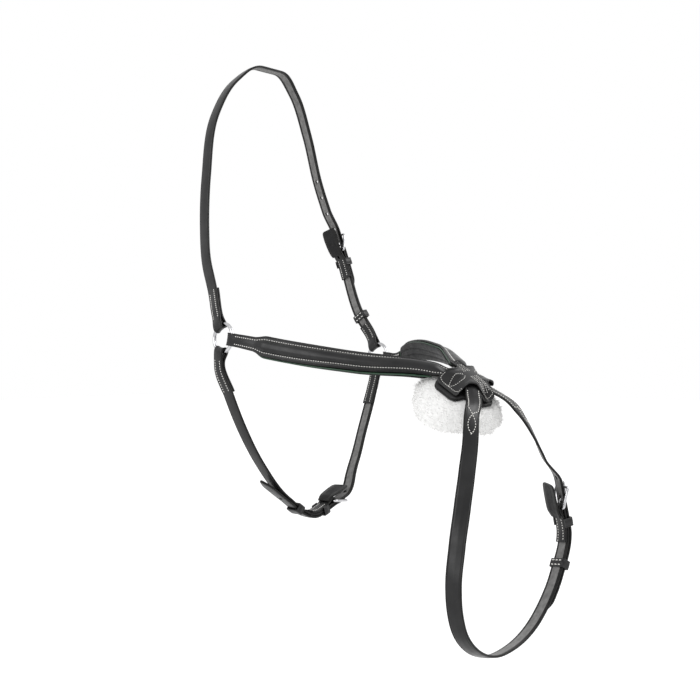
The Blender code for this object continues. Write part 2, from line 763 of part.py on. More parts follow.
def running_keeper(name, strap, back, parts):
    """The leather loop that slides over strap and billet."""
    at = strap.last.at - strap.heading * back
    half_x = STRAP_WIDTH / 2 + KEEPER_SIDE_GAP
    half_y = PAIR / 2 + STRAP_THICKNESS / 2 + KEEPER_RUN_GAP
    matrix = keeper_matrix(strap.line, at)
    matrix.translation += matrix.col[1].to_3d() * (strap.lift(at) + PAIR / 2)
    outlines = [rounded_box(half_x + KEEPER_THICKNESS, half_y + KEEPER_THICKNESS, KEEPER_THICKNESS),
                rounded_box(half_x, half_y, KEEPER_THICKNESS / 3, steps=1)]
    item = plate(outlines, KEEPER_LENGTH, name, matrix)
    return finish(item, name, "leather", parts, origin=matrix.translation)


def nose_layers(side, strap, parts):
    """The filler inside a nose strap's raised centre, the soft lining under it and its piping."""
    top = STRAP_THICKNESS / 2
    start, full, fall, gone = strap.raise_marks()
    slices = []
    for at in even_steps(full, fall, STEP_ALONG):
        section = strap.section(at, strap.lift(at) - top)
        section.half_width = FILLER_WIDTH / 2
        slices.append(section)

    def filler_heights(section, lane):
        return 0.0, lane[1] * (RAISE_HEIGHT - FILLER_GAP)

    filler = lay(slices, FILLER_LANE_SHARES, filler_heights, side + "_raised_filler")
    finish(filler, side + "_raised_filler", "felt", parts)
    slices = []
    edges = []
    for at in even_steps(start, full, STEP_ALONG)[:-1] + even_steps(full, fall, STEP_ALONG):
        section = strap.section(at, strap.lift(at) - top - SEAT_GAP)
        outer = section.half_width
        section.half_width = outer - PIPING_DIAMETER - SEAT_GAP
        from_ends = ease(abs(at - start) / RAISE_RUN) * ease(abs(at - fall) / PADDING_TAPER)
        section.lift = PADDING_DEPTH * mix(0.4, 1, from_ends)
        slices.append(section)
        place, along, across, out = strap.line.at(at)
        low = place + out * (strap.lift(at) - top - SEAT_GAP - PIPING_DIAMETER / 2)
        edges.append((low, across, outer - PIPING_DIAMETER / 2))

    def padding_heights(section, lane):
        return -lane[1] * section.lift, 0.0

    slices[0].centre = slices[0].centre.lerp(slices[1].centre, PIPING_DIAMETER / STEP_ALONG)
    slices[-1].centre = slices[-1].centre.lerp(slices[-2].centre, PIPING_DIAMETER / STEP_ALONG)
    padding = lay(slices, PADDING_LANE_SHARES, padding_heights, side + "_nose_padding")
    finish(padding, side + "_nose_padding", "lining", parts)
    points = [low - across * reach for low, across, reach in edges]
    points += [low + across * reach for low, across, reach in reversed(edges)]
    name = side + "_piping"
    piping = wire(points, PIPING_DIAMETER / 2, name, Matrix.Identity(4), closed=True, fineness=1)
    finish(piping, name, "piping", parts)


def reach_at(angle, reach, depth):
    """How far a rosette leather reaches: four arms with a hollow of some depth where each strap passes."""
    for mouth in (-CROSS_HALF_ANGLE, CROSS_HALF_ANGLE, math.pi - CROSS_HALF_ANGLE,
                  math.pi + CROSS_HALF_ANGLE):
        turn = abs((angle - mouth + math.pi) % math.tau - math.pi)
        if turn < MOUTH_HALF_ANGLE:
            reach -= depth * math.cos(math.radians(90) * turn / MOUTH_HALF_ANGLE) ** 2
    return reach


def polar_place(place, reach):
    """Spreads a place on the square blank over an outline that gives the reach at each angle."""
    angle = math.atan2(place.y, place.x)
    radius = reach(angle) * max(abs(place.x), abs(place.y)) * 2
    return radius * math.cos(angle), radius * math.sin(angle)


def rosette(frame, parts):
    """The X-shaped cover over the crossed straps, its layered base and the sheepskin under it."""
    low = (PAIR - STRAP_THICKNESS) / 2
    high = low + PAIR + STRAP_THICKNESS + COVER_GAP
    mesh = blank(COVER_STEPS, COVER_STEPS)
    for vert in mesh.verts:
        x, y = polar_place(vert.co, lambda angle: reach_at(angle, COVER_ARM, MOUTH_DEPTH))
        beside = min(abs(y * math.cos(turn) - x * math.sin(turn))
                     for turn in (CROSS_HALF_ANGLE, -CROSS_HALF_ANGLE)) - STRAP_WIDTH / 2 - COVER_GAP
        under = mix(high, low + SEAT_GAP, ease(beside / COVER_FALL))
        vert.co = Vector((x, y, under + saddle(y) + (COVER_THICKNESS if vert.co.z > 0 else 0)))
    bmesh.ops.transform(mesh, matrix=frame, verts=mesh.verts)
    finish(mesh_object(mesh, "rosette_cover"), "rosette_cover", "leather", parts)
    base_top = low - SEAT_GAP
    mesh = blank(BASE_STEPS, BASE_STEPS)
    for vert in mesh.verts:
        x, y = polar_place(vert.co, lambda angle: reach_at(angle, BASE_REACH, BASE_SCALLOP))
        vert.co = Vector((x, y, base_top + saddle(y) - (0 if vert.co.z > 0 else BASE_THICKNESS)))
    bmesh.ops.transform(mesh, matrix=frame, verts=mesh.verts)
    finish(mesh_object(mesh, "rosette_base"), "rosette_base", "leather", parts)
    pad_top = base_top - BASE_THICKNESS - SEAT_GAP
    mesh = blank(PAD_STEPS, PAD_STEPS)
    for vert in mesh.verts:
        number = round(max(abs(vert.co.x), abs(vert.co.y)) * PAD_STEPS)
        reach_share, fall_share, inner_share, inner_fall_share = PAD_RING_SHARES[number]
        if vert.co.z < 0:
            reach_share, fall_share = inner_share, inner_fall_share
        angle = math.atan2(vert.co.y, vert.co.x)
        x = PAD_RADIUS * reach_share * math.cos(angle)
        y = PAD_RADIUS * reach_share * math.sin(angle)
        if vert.co.z > 0:
            z = pad_top + saddle(y)
        else:
            z = pad_top - PAD_THICKNESS + (saddle(y) if number > 1 else 0.0)
        vert.co = Vector((x, y, z - PAD_FALL * fall_share))
    bmesh.ops.transform(mesh, matrix=frame, verts=mesh.verts)
    finish(mesh_object(mesh, "sheepskin_pad"), "sheepskin_pad", "fleece", parts)


# The sheepskin from its middle to its rim, in rings: the reach and fall of its upper side and then of
# its under side, as shares of its radius and of its fall at the rim
PAD_RING_SHARES = ((0, 0, 0, 0), (0.25, 0, 0.25, 0), (0.48, 0, 0.47, 0), (0.73, 0.06, 0.66, 0.03),
                   (0.91, 0.42, 0.755, 0.25), (1, 1, 0.823, 0.72))


def main():
    for item in list(bpy.data.objects):
        bpy.data.objects.remove(item)
    parts = bpy.data.collections.new("figure_eight_noseband")
    cutters = bpy.data.collections.new("cutters")
    bpy.context.scene.collection.children.link(parts)
    bpy.context.scene.collection.children.link(cutters)
    half_drop = NEAR_RING_DROP / 2
    off_ring = Vector((-RING_HALF_SPREAD, -RINGS_FORWARD, half_drop - POLL_TO_RINGS))
    near_ring = Vector((RING_HALF_SPREAD, -RINGS_FORWARD, -half_drop - POLL_TO_RINGS))
    axle = (near_ring - off_ring).normalized()
    upward = axle.cross(Vector((0, 1, 0))).normalized()
    down_nose = Vector((0, -math.cos(ROSETTE_SLOPE), -math.sin(ROSETTE_SLOPE)))
    out = Matrix.Rotation(ROSETTE_ROLL, 3, down_nose) @ down_nose.cross(Vector((1, 0, 0)))
    crossing = Matrix((down_nose, out.cross(down_nose), out)).transposed().to_4x4()
    crossing.translation = Vector((ROSETTE_OFFSET, -ROSETTE_FORWARD, -ROSETTE_DROP))
    ring("off_ring", off_ring, axle, parts)
    ring("near_ring", near_ring, axle, parts)
    rosette(crossing, parts)

    head = head_line(off_ring, near_ring, axle, upward)
    cheek_bar = head.length - CHEEK_BAR_UP
    cheek = Strap(head, ring_turn(head.length, CHEEK_TURN_LENGTH), bar_turn(cheek_bar))
    headstrap = Strap(head, ring_turn(0.0), Tail(cheek_bar + CHEEK_TAIL), buckled=cheek)
    jaw = jaw_line(off_ring, near_ring, axle, upward)
    jaw_bar = jaw.marks[6] + JAW_BAR_REACH
    jaw_strap = Strap(jaw, ring_turn(0.0), bar_turn(jaw_bar))
    jaw_billet = Strap(jaw, ring_turn(jaw.length), Tail(jaw_bar - JAW_TAIL), buckled=jaw_strap)
    nose = nose_line(off_ring, near_ring, axle, upward, crossing)
    lower_bar = nose.marks[12] - LOWER_BAR_BACK
    off_crossing = (nose.marks[5] + nose.marks[6]) / 2
    near_crossing = (nose.marks[-6] + nose.marks[-7]) / 2
    near_nose = Strap(nose, ring_turn(nose.length, NOSE_TURN_LENGTH), bar_turn(lower_bar),
                      crossing=near_crossing)
    off_nose = Strap(nose, ring_turn(0.0, NOSE_TURN_LENGTH), Tail(lower_bar + LOWER_TAIL), near_nose,
                     off_crossing)
    nose_layers("off", off_nose, parts)
    nose_layers("near", near_nose, parts)

    for strap, billet, back in ((cheek, headstrap, CHEEK_KEEPER_BACK),
                                (jaw_strap, jaw_billet, JAW_KEEPER_BACK),
                                (near_nose, off_nose, LOWER_KEEPER_BACK)):
        for edge in (-KEEPER_FLAT, KEEPER_FLAT):
            strap.stops.append(strap.last.at - strap.heading * (back + edge))
            billet.stops.append(strap.stops[-1])
    for name, strap, strap_name, billet, billet_name, before, after, back in (
            ("cheek", cheek, "near_cheek_strap", headstrap, "headstrap", 4, 2, CHEEK_KEEPER_BACK),
            ("jaw", jaw_strap, "jaw_buckle_strap", jaw_billet, "jaw_billet", 1, 4, JAW_KEEPER_BACK),
            ("lower", near_nose, "near_nose_strap", off_nose, "off_nose_strap", 3, 4, LOWER_KEEPER_BACK)):
        seat = buckle(name + "_buckle", strap, parts)
        made = strap.make(strap_name, parts)
        slot = (BAR_FOLD + STRAP_THICKNESS) * 3
        cut(made, name + "_slot", slot, TONGUE_SLOT_WIDTH, BAR_FOLD * 3, seat, cutters)
        punch(billet.make(billet_name, parts), billet, before, after, cutters)
        guard(name + "_buckle_guard", strap, parts)
        fixed_keeper(name + "_fixed_keeper", strap, parts)
        running_keeper(name + "_running_keeper", strap, back, parts)


main()
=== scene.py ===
"""Looks of the figure eight noseband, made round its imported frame."""

import math
import random

import bmesh
import bpy
from mathutils import Matrix, Vector, noise


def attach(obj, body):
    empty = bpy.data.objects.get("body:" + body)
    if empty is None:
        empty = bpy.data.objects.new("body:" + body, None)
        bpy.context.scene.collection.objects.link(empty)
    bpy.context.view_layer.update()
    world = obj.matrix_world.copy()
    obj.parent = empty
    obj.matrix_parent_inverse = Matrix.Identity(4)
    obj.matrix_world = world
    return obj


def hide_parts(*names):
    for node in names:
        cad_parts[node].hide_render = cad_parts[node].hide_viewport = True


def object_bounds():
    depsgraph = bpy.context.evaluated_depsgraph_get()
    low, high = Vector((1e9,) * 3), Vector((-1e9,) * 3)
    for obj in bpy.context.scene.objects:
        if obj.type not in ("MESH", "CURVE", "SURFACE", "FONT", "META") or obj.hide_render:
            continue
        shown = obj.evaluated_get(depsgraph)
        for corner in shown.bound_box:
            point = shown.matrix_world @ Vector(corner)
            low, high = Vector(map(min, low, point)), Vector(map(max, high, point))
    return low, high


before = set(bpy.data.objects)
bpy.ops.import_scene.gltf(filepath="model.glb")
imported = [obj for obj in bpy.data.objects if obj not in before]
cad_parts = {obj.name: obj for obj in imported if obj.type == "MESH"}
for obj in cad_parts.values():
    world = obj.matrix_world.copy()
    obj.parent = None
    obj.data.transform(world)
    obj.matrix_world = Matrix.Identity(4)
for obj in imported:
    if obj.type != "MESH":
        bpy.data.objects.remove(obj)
cad_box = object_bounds()


# The two rings are welded from 3.8 mm round steel bar and polished. They hang free in the turned
# ends of the straps, and each shows a low bead where its ends were welded.
POLL_TO_RINGS = 0.3195
NEAR_RING_DROP = 0.0195
RINGS_FORWARD = 0.0647
RING_HALF_SPREAD = 0.1154
RING_RADIUS = 0.01475
RING_WIRE_RADIUS = 0.0019
RING_SEGMENTS = 128
WIRE_SEGMENTS = 24
WELD_ANGLE = math.radians(200)
WELD_HALF_ANGLE = math.radians(9)
WELD_RISE = 0.00012
STEEL = (0.56, 0.56, 0.57, 1.0)
STEEL_WORN = (0.36, 0.36, 0.375, 1.0)


def material(name, colour, roughness, metallic=0.0):
    """A new material with its Principled shader, ready for its texture nodes."""
    made = bpy.data.materials.new(name)
    made.use_nodes = True
    shader = made.node_tree.nodes["Principled BSDF"]
    shader.inputs["Base Color"].default_value = colour
    shader.inputs["Roughness"].default_value = roughness
    shader.inputs["Metallic"].default_value = metallic
    made.diffuse_color = colour
    return made, made.node_tree, shader


def speckle(tree, scale, detail=3.0, stretch=(1.0, 1.0, 1.0), kind="ShaderNodeTexNoise"):
    """A texture on the object's own coordinates, in units of one metre."""
    place = tree.nodes.new("ShaderNodeTexCoord")
    mapping = tree.nodes.new("ShaderNodeMapping")
    mapping.inputs["Scale"].default_value = stretch
    texture = tree.nodes.new(kind)
    texture.inputs["Scale"].default_value = scale
    if "Detail" in texture.inputs:
        texture.inputs["Detail"].default_value = detail
    tree.links.new(place.outputs["Object"], mapping.inputs["Vector"])
    tree.links.new(mapping.outputs["Vector"], texture.inputs["Vector"])
    return texture.outputs["Fac"] if "Fac" in texture.outputs else texture.outputs["Distance"]


def spread_value(tree, value, low, high, socket, start=0.3, end=0.7):
    """Drives a socket from a texture, between a low and a high value."""
    ramp = tree.nodes.new("ShaderNodeMapRange")
    ramp.inputs["From Min"].default_value = start
    ramp.inputs["From Max"].default_value = end
    ramp.inputs["To Min"].default_value = low
    ramp.inputs["To Max"].default_value = high
    tree.links.new(value, ramp.inputs["Value"])
    tree.links.new(ramp.outputs["Result"], socket)


def spread_colour(tree, value, dark, light, shader, start=0.35, end=0.65):
    """Blends the base colour between two tones by a texture."""
    ramp = tree.nodes.new("ShaderNodeValToRGB")
    ramp.color_ramp.elements[0].position = start
    ramp.color_ramp.elements[0].color = dark
    ramp.color_ramp.elements[1].position = end
    ramp.color_ramp.elements[1].color = light
    tree.links.new(value, ramp.inputs["Fac"])
    tree.links.new(ramp.outputs["Color"], shader.inputs["Base Color"])


def relief(tree, shader, layers):
    """Chains bumps of (texture value, strength, depth in metres) into the shader."""
    normal = None
    for value, strength, depth in layers:
        bump = tree.nodes.new("ShaderNodeBump")
        bump.inputs["Strength"].default_value = strength
        bump.inputs["Distance"].default_value = depth
        tree.links.new(value, bump.inputs["Height"])
        if normal is not None:
            tree.links.new(normal, bump.inputs["Normal"])
        normal = bump.outputs["Normal"]
    tree.links.new(normal, shader.inputs["Normal"])


def polished_steel():
    made, tree, shader = material("polished_steel", STEEL, 0.12, 1.0)
    wear = speckle(tree, 120.0)
    spread_colour(tree, wear, STEEL_WORN, STEEL, shader, 0.3, 0.6)
    spread_value(tree, speckle(tree, 900.0), 0.07, 0.2, shader.inputs["Roughness"])
    relief(tree, shader, [(speckle(tree, 1200.0, 2.0), 0.05, 0.00001)])
    return made


steel = polished_steel()


def piece(name, verts, faces, materials, marks=None):
    """A closed, smooth shaded mesh object in the frame's space."""
    data = bpy.data.meshes.new(name)
    data.from_pydata([tuple(vert) for vert in verts], [], faces)
    if marks is not None:
        data.polygons.foreach_set("material_index", marks)
    mesh = bmesh.new()
    mesh.from_mesh(data)
    bmesh.ops.recalc_face_normals(mesh, faces=mesh.faces)
    if mesh.calc_volume(signed=True) < 0:
        bmesh.ops.reverse_faces(mesh, faces=mesh.faces)
    mesh.to_mesh(data)
    mesh.free()
    for made in materials:
        data.materials.append(made)
    data.shade_smooth()
    data.set_sharp_from_angle(angle=math.radians(50))
    item = bpy.data.objects.new(name, data)
    bpy.context.scene.collection.objects.link(item)
    return item


def fit(item, body, slot, *nodes):
    """Hangs a finished piece on its body and takes the place of its CAD nodes; slot is not used."""
    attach(item, body)
    if nodes:
        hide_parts(*nodes)
    return item


def tube(rings, closed):
    """Verts and faces of a skin over rings of points, its ends filled unless it closes on itself."""
    size = len(rings[0])
    count = len(rings)
    verts = [point for ring in rings for point in ring]
    faces = []
    for index in range(count if closed else count - 1):
        here = index * size
        there = (index + 1) % count * size
        for spot in range(size):
            after = (spot + 1) % size
            faces.append((here + spot, here + after, there + after, there + spot))
    if not closed:
        faces.append(tuple(range(size)))
        faces.append(tuple(range((count - 1) * size, count * size)))
    return verts, faces


def round_section(centre, first, second, radius, sides):
    """A ring of points round a centre, in the plane of two directions."""
    turns = (math.tau * side / sides for side in range(sides))
    return [centre + (first * math.cos(turn) + second * math.sin(turn)) * radius for turn in turns]


half_drop = NEAR_RING_DROP / 2
ring_centres = {"off_ring": Vector((-RING_HALF_SPREAD, -RINGS_FORWARD, half_drop - POLL_TO_RINGS)),
                "near_ring": Vector((RING_HALF_SPREAD, -RINGS_FORWARD, -half_drop - POLL_TO_RINGS))}
off_ring, near_ring = ring_centres["off_ring"], ring_centres["near_ring"]
axle = (near_ring - off_ring).normalized()
upward = axle.cross(Vector((0, 1, 0))).normalized()
forward = axle.cross(upward).normalized()
for ring_name, centre in ring_centres.items():
    rings = []
    for step in range(RING_SEGMENTS):
        angle = math.tau * step / RING_SEGMENTS
        away = forward * math.cos(angle) + upward * math.sin(angle)
        off_weld = abs((angle - WELD_ANGLE + math.pi) % math.tau - math.pi)
        weld = WELD_RISE * math.exp(-(off_weld / WELD_HALF_ANGLE) ** 2 * 8)
        rings.append(round_section(centre + away * RING_RADIUS, away, axle, RING_WIRE_RADIUS + weld,
                                   WIRE_SEGMENTS))
    verts, faces = tube(rings, True)
    made = piece(ring_name + "_steel", verts, faces, [steel])
    fit(made, ring_name, "polished_steel", ring_name)


# The near cheek strap is one 15 mm strap of black bridle leather, 2.6 mm thick. Its lower end is
# turned round the near ring and its upper end round the cheek buckle's bar, both sewn down in white.
STRAP_WIDTH = 0.015
STRAP_THICKNESS = 0.0026
STRAP_CROWN = 0.0004
TURN_WIDTH = 0.013
LAYER_GAP = 0.0003
SEAT_GAP = 0.0003
TURN_LENGTH = 0.044
TURN_SETTLE = 0.013
TIP_LENGTH = 0.013
LOOSE_LENGTH = 0.04
RING_LEAD = 0.011
RING_FOLD_GAP = 0.0006
FOLD_STEPS = 16
BAR_RADIUS = 0.0014
BAR_FOLD_GAP = 0.0004
BUCKLE_LENGTH = 0.021
BUCKLE_TURN_LENGTH = 0.034
BILLET_APPROACH = 0.028
SEAT_HALF_LENGTH = 0.014
HEAD_TURN_DEGREES = 118
LINE_STEP = 0.003
HIDE_STEP = 0.002
NOSE_WIDTH = 0.021
RAISE_HEIGHT = 0.0038
RAISE_START = 0.03
RAISE_RUN = 0.014
RAISE_STOP = 0.02
# From one layer to the next, and from a wire or bar to the middle of the strap folded round it
PAIR = STRAP_THICKNESS + LAYER_GAP
RING_FOLD = RING_WIRE_RADIUS + RING_FOLD_GAP + STRAP_THICKNESS / 2
BAR_FOLD = BAR_RADIUS + BAR_FOLD_GAP + STRAP_THICKNESS / 2
BILLET_LIFT = BAR_FOLD + PAIR
CHEEK_BAR_UP = 0.127
CHEEK_TURN_LENGTH = 0.029
# Up each cheek to the poll, as shares of the half spread, the rings' reach forward and the drop
OFF_CHEEK_SHARES = ((0.915, 0.55, 0.84), (0.86, 0.24, 0.726), (0.795, 0.04, 0.62), (0.705, -0.13, 0.42),
                    (0.59, -0.15, 0.194), (0.37, -0.09, 0.06))
NEAR_CHEEK_SHARES = ((0.98, 0.55, 0.852), (0.93, 0.15, 0.64), (0.85, 0, 0.51), (0.72, -0.11, 0.36),
                     (0.585, -0.15, 0.19), (0.37, -0.09, 0.055))
EDGE_ROUND = 0.0007
CREASE_INSET = 0.0016
CREASE_DEPTH = 0.00022
# Across a crease, as shares of its inset from the strap's edge and of its depth
CREASE_SHARES = ((1.4, 0), (1.1, 0.6), (1, 1), (0.9, 0.6), (0.6, 0))
PLAIN_LANE_SHARES = (0, 0.3, 0.55)
RAISED_LANE_SHARES = (0, 0.12, 0.24, 0.34, 0.42, 0.48, 0.52, 0.545, 0.57, 0.62)
RAISE_FOOT_SHARE = 0.56
LANES_END_SHARE = 0.64
TIP_WIDTH_SHARE = 0.2
TIP_SHARES = (0.9, 0.8, 0.7, 0.6, 0.5, 0.4, 0.3, 0.2, 0.12, 0.05, 0)
GRAIN_DARK = (0.006, 0.006, 0.0065, 1.0)
GRAIN_LIGHT = (0.014, 0.014, 0.0145, 1.0)
FLESH_DARK = (0.115, 0.113, 0.111, 1.0)
FLESH_LIGHT = (0.215, 0.212, 0.208, 1.0)
EDGE_DARK = (0.003, 0.003, 0.003, 1.0)
EDGE_WORN = (0.012, 0.0115, 0.011, 1.0)
THREAD_SHADE = (0.62, 0.6, 0.56, 1.0)
THREAD_LIGHT = (0.9, 0.89, 0.86, 1.0)
STITCH_PITCH = 0.0026
STITCH_SHARE = 0.66
STITCH_RADIUS = 0.00038
STITCH_SIDES = 6
# Along one stitch: the place as a share of its half length, its rise and its radius as shares of the thread
STITCH_SHARES = ((-1, -0.9, 0.6), (-0.62, 0.35, 1), (0, 0.62, 1.08), (0.62, 0.35, 1), (1, -0.9, 0.6))
ROW_SHARE = 0.58
ROW_FROM_RING = 0.008
ROW_FROM_BAR = 0.0105
ROW_SAMPLE = 0.001


def grain_side():
    """The smooth outer face of the hide: dyed through, waxed and burnished."""
    made, tree, shader = material("bridle_leather_grain", GRAIN_LIGHT, 0.4)
    spread_colour(tree, speckle(tree, 55.0, 4.0), GRAIN_DARK, GRAIN_LIGHT, shader)
    spread_value(tree, speckle(tree, 120.0, 3.0), 0.28, 0.42, shader.inputs["Roughness"])
    shader.inputs["Specular IOR Level"].default_value = 0.3
    pores = speckle(tree, 1700.0, kind="ShaderNodeTexVoronoi")
    folds = speckle(tree, 420.0, 4.0, (1.0, 1.0, 0.55))
    relief(tree, shader, [(folds, 0.22, 0.0002), (pores, 0.16, 0.00009)])
    return made


def flesh_side():
    """The inner face: grey, matt and slightly fibrous."""
    made, tree, shader = material("bridle_leather_flesh", FLESH_LIGHT, 0.86)
    spread_colour(tree, speckle(tree, 210.0, 6.0), FLESH_DARK, FLESH_LIGHT, shader, 0.3, 0.7)
    shader.inputs["Specular IOR Level"].default_value = 0.2
    shader.inputs["Sheen Weight"].default_value = 0.25
    shader.inputs["Sheen Roughness"].default_value = 0.6
    relief(tree, shader, [(speckle(tree, 1500.0, 5.0), 0.45, 0.00022),
                          (speckle(tree, 300.0, 4.0), 0.25, 0.0003)])
    return made


def cut_edge():
    """The cut edge, dyed, waxed and rubbed till it shines."""
    made, tree, shader = material("bridle_leather_edge", EDGE_DARK, 0.32)
    spread_colour(tree, speckle(tree, 140.0, 4.0), EDGE_DARK, EDGE_WORN, shader, 0.45, 0.7)
    spread_value(tree, speckle(tree, 500.0), 0.3, 0.5, shader.inputs["Roughness"])
    shader.inputs["Specular IOR Level"].default_value = 0.2
    relief(tree, shader, [(speckle(tree, 900.0, 3.0, (1.0, 1.0, 0.4)), 0.2, 0.00012)])
    return made


def waxed_thread():
    made, tree, shader = material("waxed_white_thread", THREAD_LIGHT, 0.55)
    spread_colour(tree, speckle(tree, 1400.0), THREAD_SHADE, THREAD_LIGHT, shader, 0.3, 0.6)
    shader.inputs["Sheen Weight"].default_value = 0.2
    relief(tree, shader, [(speckle(tree, 4200.0, 2.0), 0.4, 0.00006)])
    return made


grain = grain_side()
flesh = flesh_side()
edge = cut_edge()
hide_sides = [grain, flesh, edge]
thread = waxed_thread()


def mix(first, second, share):
    return first + (second - first) * share


def ease(share):
    share = min(max(share, 0), 1)
    return share * share * (3 - 2 * share)


def hermite(start, start_slope, end, end_slope, share):
    square = share * share
    cube = square * share
    return (start * (2 * cube - 3 * square + 1) + start_slope * (cube - 2 * square + share)
            + end * (3 * square - 2 * cube) + end_slope * (cube - square))


class Line:
    """A smooth line through stations of (place, facing, heading or None), facing the strap's outer side."""

    def __init__(self, stations):
        places = [station[0] for station in stations]
        facings = [station[1].normalized() for station in stations]
        gaps = [(after - before).length for before, after in zip(places, places[1:])]
        slopes = []
        for index, station in enumerate(stations):
            if station[2] is not None:
                slopes.append(station[2].normalized())
                continue
            before = max(index - 1, 0)
            after = min(index, len(gaps) - 1)
            first = (places[before + 1] - places[before]) / gaps[before]
            second = (places[after + 1] - places[after]) / gaps[after]
            slopes.append((first * gaps[after] + second * gaps[before]).normalized())
        self.places = []
        self.facings = []
        marks = []
        for index, gap in enumerate(gaps):
            count = max(2, round(gap / LINE_STEP))
            marks.append(len(self.places))
            for step in range(count):
                share = step / count
                self.places.append(hermite(places[index], slopes[index] * gap,
                                           places[index + 1], slopes[index + 1] * gap, share))
                self.facings.append(facings[index].lerp(facings[index + 1], ease(share)))
        marks.append(len(self.places))
        self.places.append(places[-1])
        self.facings.append(facings[-1])
        self.distances = [0.0]
        for before, after in zip(self.places, self.places[1:]):
            self.distances.append(self.distances[-1] + (after - before).length)
        self.marks = [self.distances[mark] for mark in marks]
        self.length = self.distances[-1]
        self.ends = (slopes[0], slopes[-1])

    def at(self, distance):
        """The place and the along, across and out directions at a distance from the line's start."""
        last = len(self.places) - 1
        index = 0
        while index < last - 1 and self.distances[index + 1] < distance:
            index += 1
        span = self.distances[index + 1] - self.distances[index]
        share = (distance - self.distances[index]) / span
        if 0 <= share <= 1:
            place = self.places[index].lerp(self.places[index + 1], share)
        elif share < 0:
            place = self.places[0] + self.ends[0] * distance
        else:
            place = self.places[-1] + self.ends[1] * (distance - self.length)
        share = min(max(share, 0), 1)
        along = self.tangent(index).lerp(self.tangent(index + 1), share).normalized()
        facing = self.facings[index].lerp(self.facings[index + 1], share)
        out = (facing - along * facing.dot(along)).normalized()
        return place, along, along.cross(out), out

    def tangent(self, index):
        if index == 0:
            return self.ends[0]
        if index == len(self.places) - 1:
            return self.ends[1]
        return (self.places[index + 1] - self.places[index - 1]).normalized()

    def frame(self, distance, lift):
        """A matrix with X along the line, Y across it and Z out of it, lifted off the line."""
        place, along, across, out = self.at(distance)
        matrix = Matrix((along, -across, out)).transposed().to_4x4()
        matrix.translation = place + out * lift
        return matrix


class Slice:
    """One cross section of a strap: its centre, the way across, its half width and its shape."""

    def __init__(self, centre, across, half_width, bow=None, lift=0.0):
        self.centre = centre
        self.across = across
        self.half_width = half_width
        self.bow = bow or Vector()
        self.lift = lift


def skin(slices, outline, name, materials):
    """Covers slices with a closed skin; outline gives a slice's points as (side, height, finish)."""
    count = len(slices) - 1
    rings = []
    for index, section in enumerate(slices):
        before = slices[max(index - 1, 0)].centre
        after = slices[min(index + 1, count)].centre
        out = section.across.cross(after - before).normalized()
        ring = outline(section)
        points = []
        for side, height, finish in ring:
            sag = RING_RADIUS - math.sqrt(max(RING_RADIUS ** 2 - side ** 2, 0))
            points.append(section.centre + section.across * side + out * height + section.bow * sag)
        rings.append(points)
    verts, faces = tube(rings, False)
    finishes = [finish for side, height, finish in ring]
    marks = []
    for index in range(count):
        for spot, finish in enumerate(finishes):
            beside = finishes[(spot + 1) % len(finishes)]
            marks.append(finish if finish == beside else 2)
    marks += [2, 2]
    if len(materials) == 1:
        marks = None
    return piece(name, verts, faces, materials, marks)


def mirrored(right):
    """A whole outline from its right half, which runs from the upper middle to the lower middle."""
    left = [(-side, height, finish) for side, height, finish in reversed(right[1:-1])]
    return right + left


def raise_share_at(share):
    """The height of a raised centre at a share of the strap's half width."""
    if abs(share) >= RAISE_FOOT_SHARE:
        return 0.0
    return 1 - (abs(share) / RAISE_FOOT_SHARE) ** 4


def hide_outline(lanes, thickness=STRAP_THICKNESS):
    """An outline for a strap: round edges, a crease line along each, and the raised centre if any."""
    def outline(section):
        half = section.half_width
        top = thickness / 2
        inset = min(CREASE_INSET, half * 0.35)
        corner = min(EDGE_ROUND, half * 0.3, top * 0.9)
        middle = min(half, (half - inset * 1.5) / LANES_END_SHARE)
        right = []
        for lane in lanes:
            crown = STRAP_CROWN * lane * middle / half
            right.append((middle * lane, top + raise_share_at(lane) * section.lift - crown, 0))
        for inset_share, dip in CREASE_SHARES:
            side = half - inset * inset_share
            right.append((side, top - CREASE_DEPTH * dip - STRAP_CROWN * side / half, 0))
        for height_way in (1, -1):
            for step in range(4):
                angle = math.radians(90) * step / 3
                if height_way < 0:
                    angle = math.radians(90) - angle
                side = half - corner + corner * math.sin(angle)
                crown = STRAP_CROWN if height_way > 0 else 0.0
                height = height_way * (top - corner + corner * math.cos(angle)) - crown
                right.append((side, height, 2))
        for lane in reversed(lanes):
            right.append((middle * lane, raise_share_at(lane) * section.lift - top, 1))
        return mirrored(right)
    return outline


def even_steps(start, end, size):
    count = max(1, round(abs(end - start) / size))
    return [mix(start, end, step / count) for step in range(count + 1)]


class Turn:
    """A strap's end turned round a ring's wire or a buckle's bar and stitched down on its inner side."""

    def __init__(self, at, fold, lean, length, narrow, bowed):
        self.at = at
        self.fold = fold
        self.lean = lean
        self.length = length
        self.narrow = narrow
        self.bowed = bowed

    def outer_lift(self, distance):
        return mix(self.fold, self.lean + PAIR / 2, ease(distance / TURN_SETTLE))


class Tail:
    """A strap's free end, at a distance along the line, with a pointed tip."""

    def __init__(self, at):
        self.at = at


def ring_turn(at, length=TURN_LENGTH):
    return Turn(at, RING_FOLD, 0.0, length, TURN_WIDTH, True)


def bar_turn(at):
    return Turn(at, BAR_FOLD, BAR_FOLD - PAIR / 2, BUCKLE_TURN_LENGTH, STRAP_WIDTH, False)


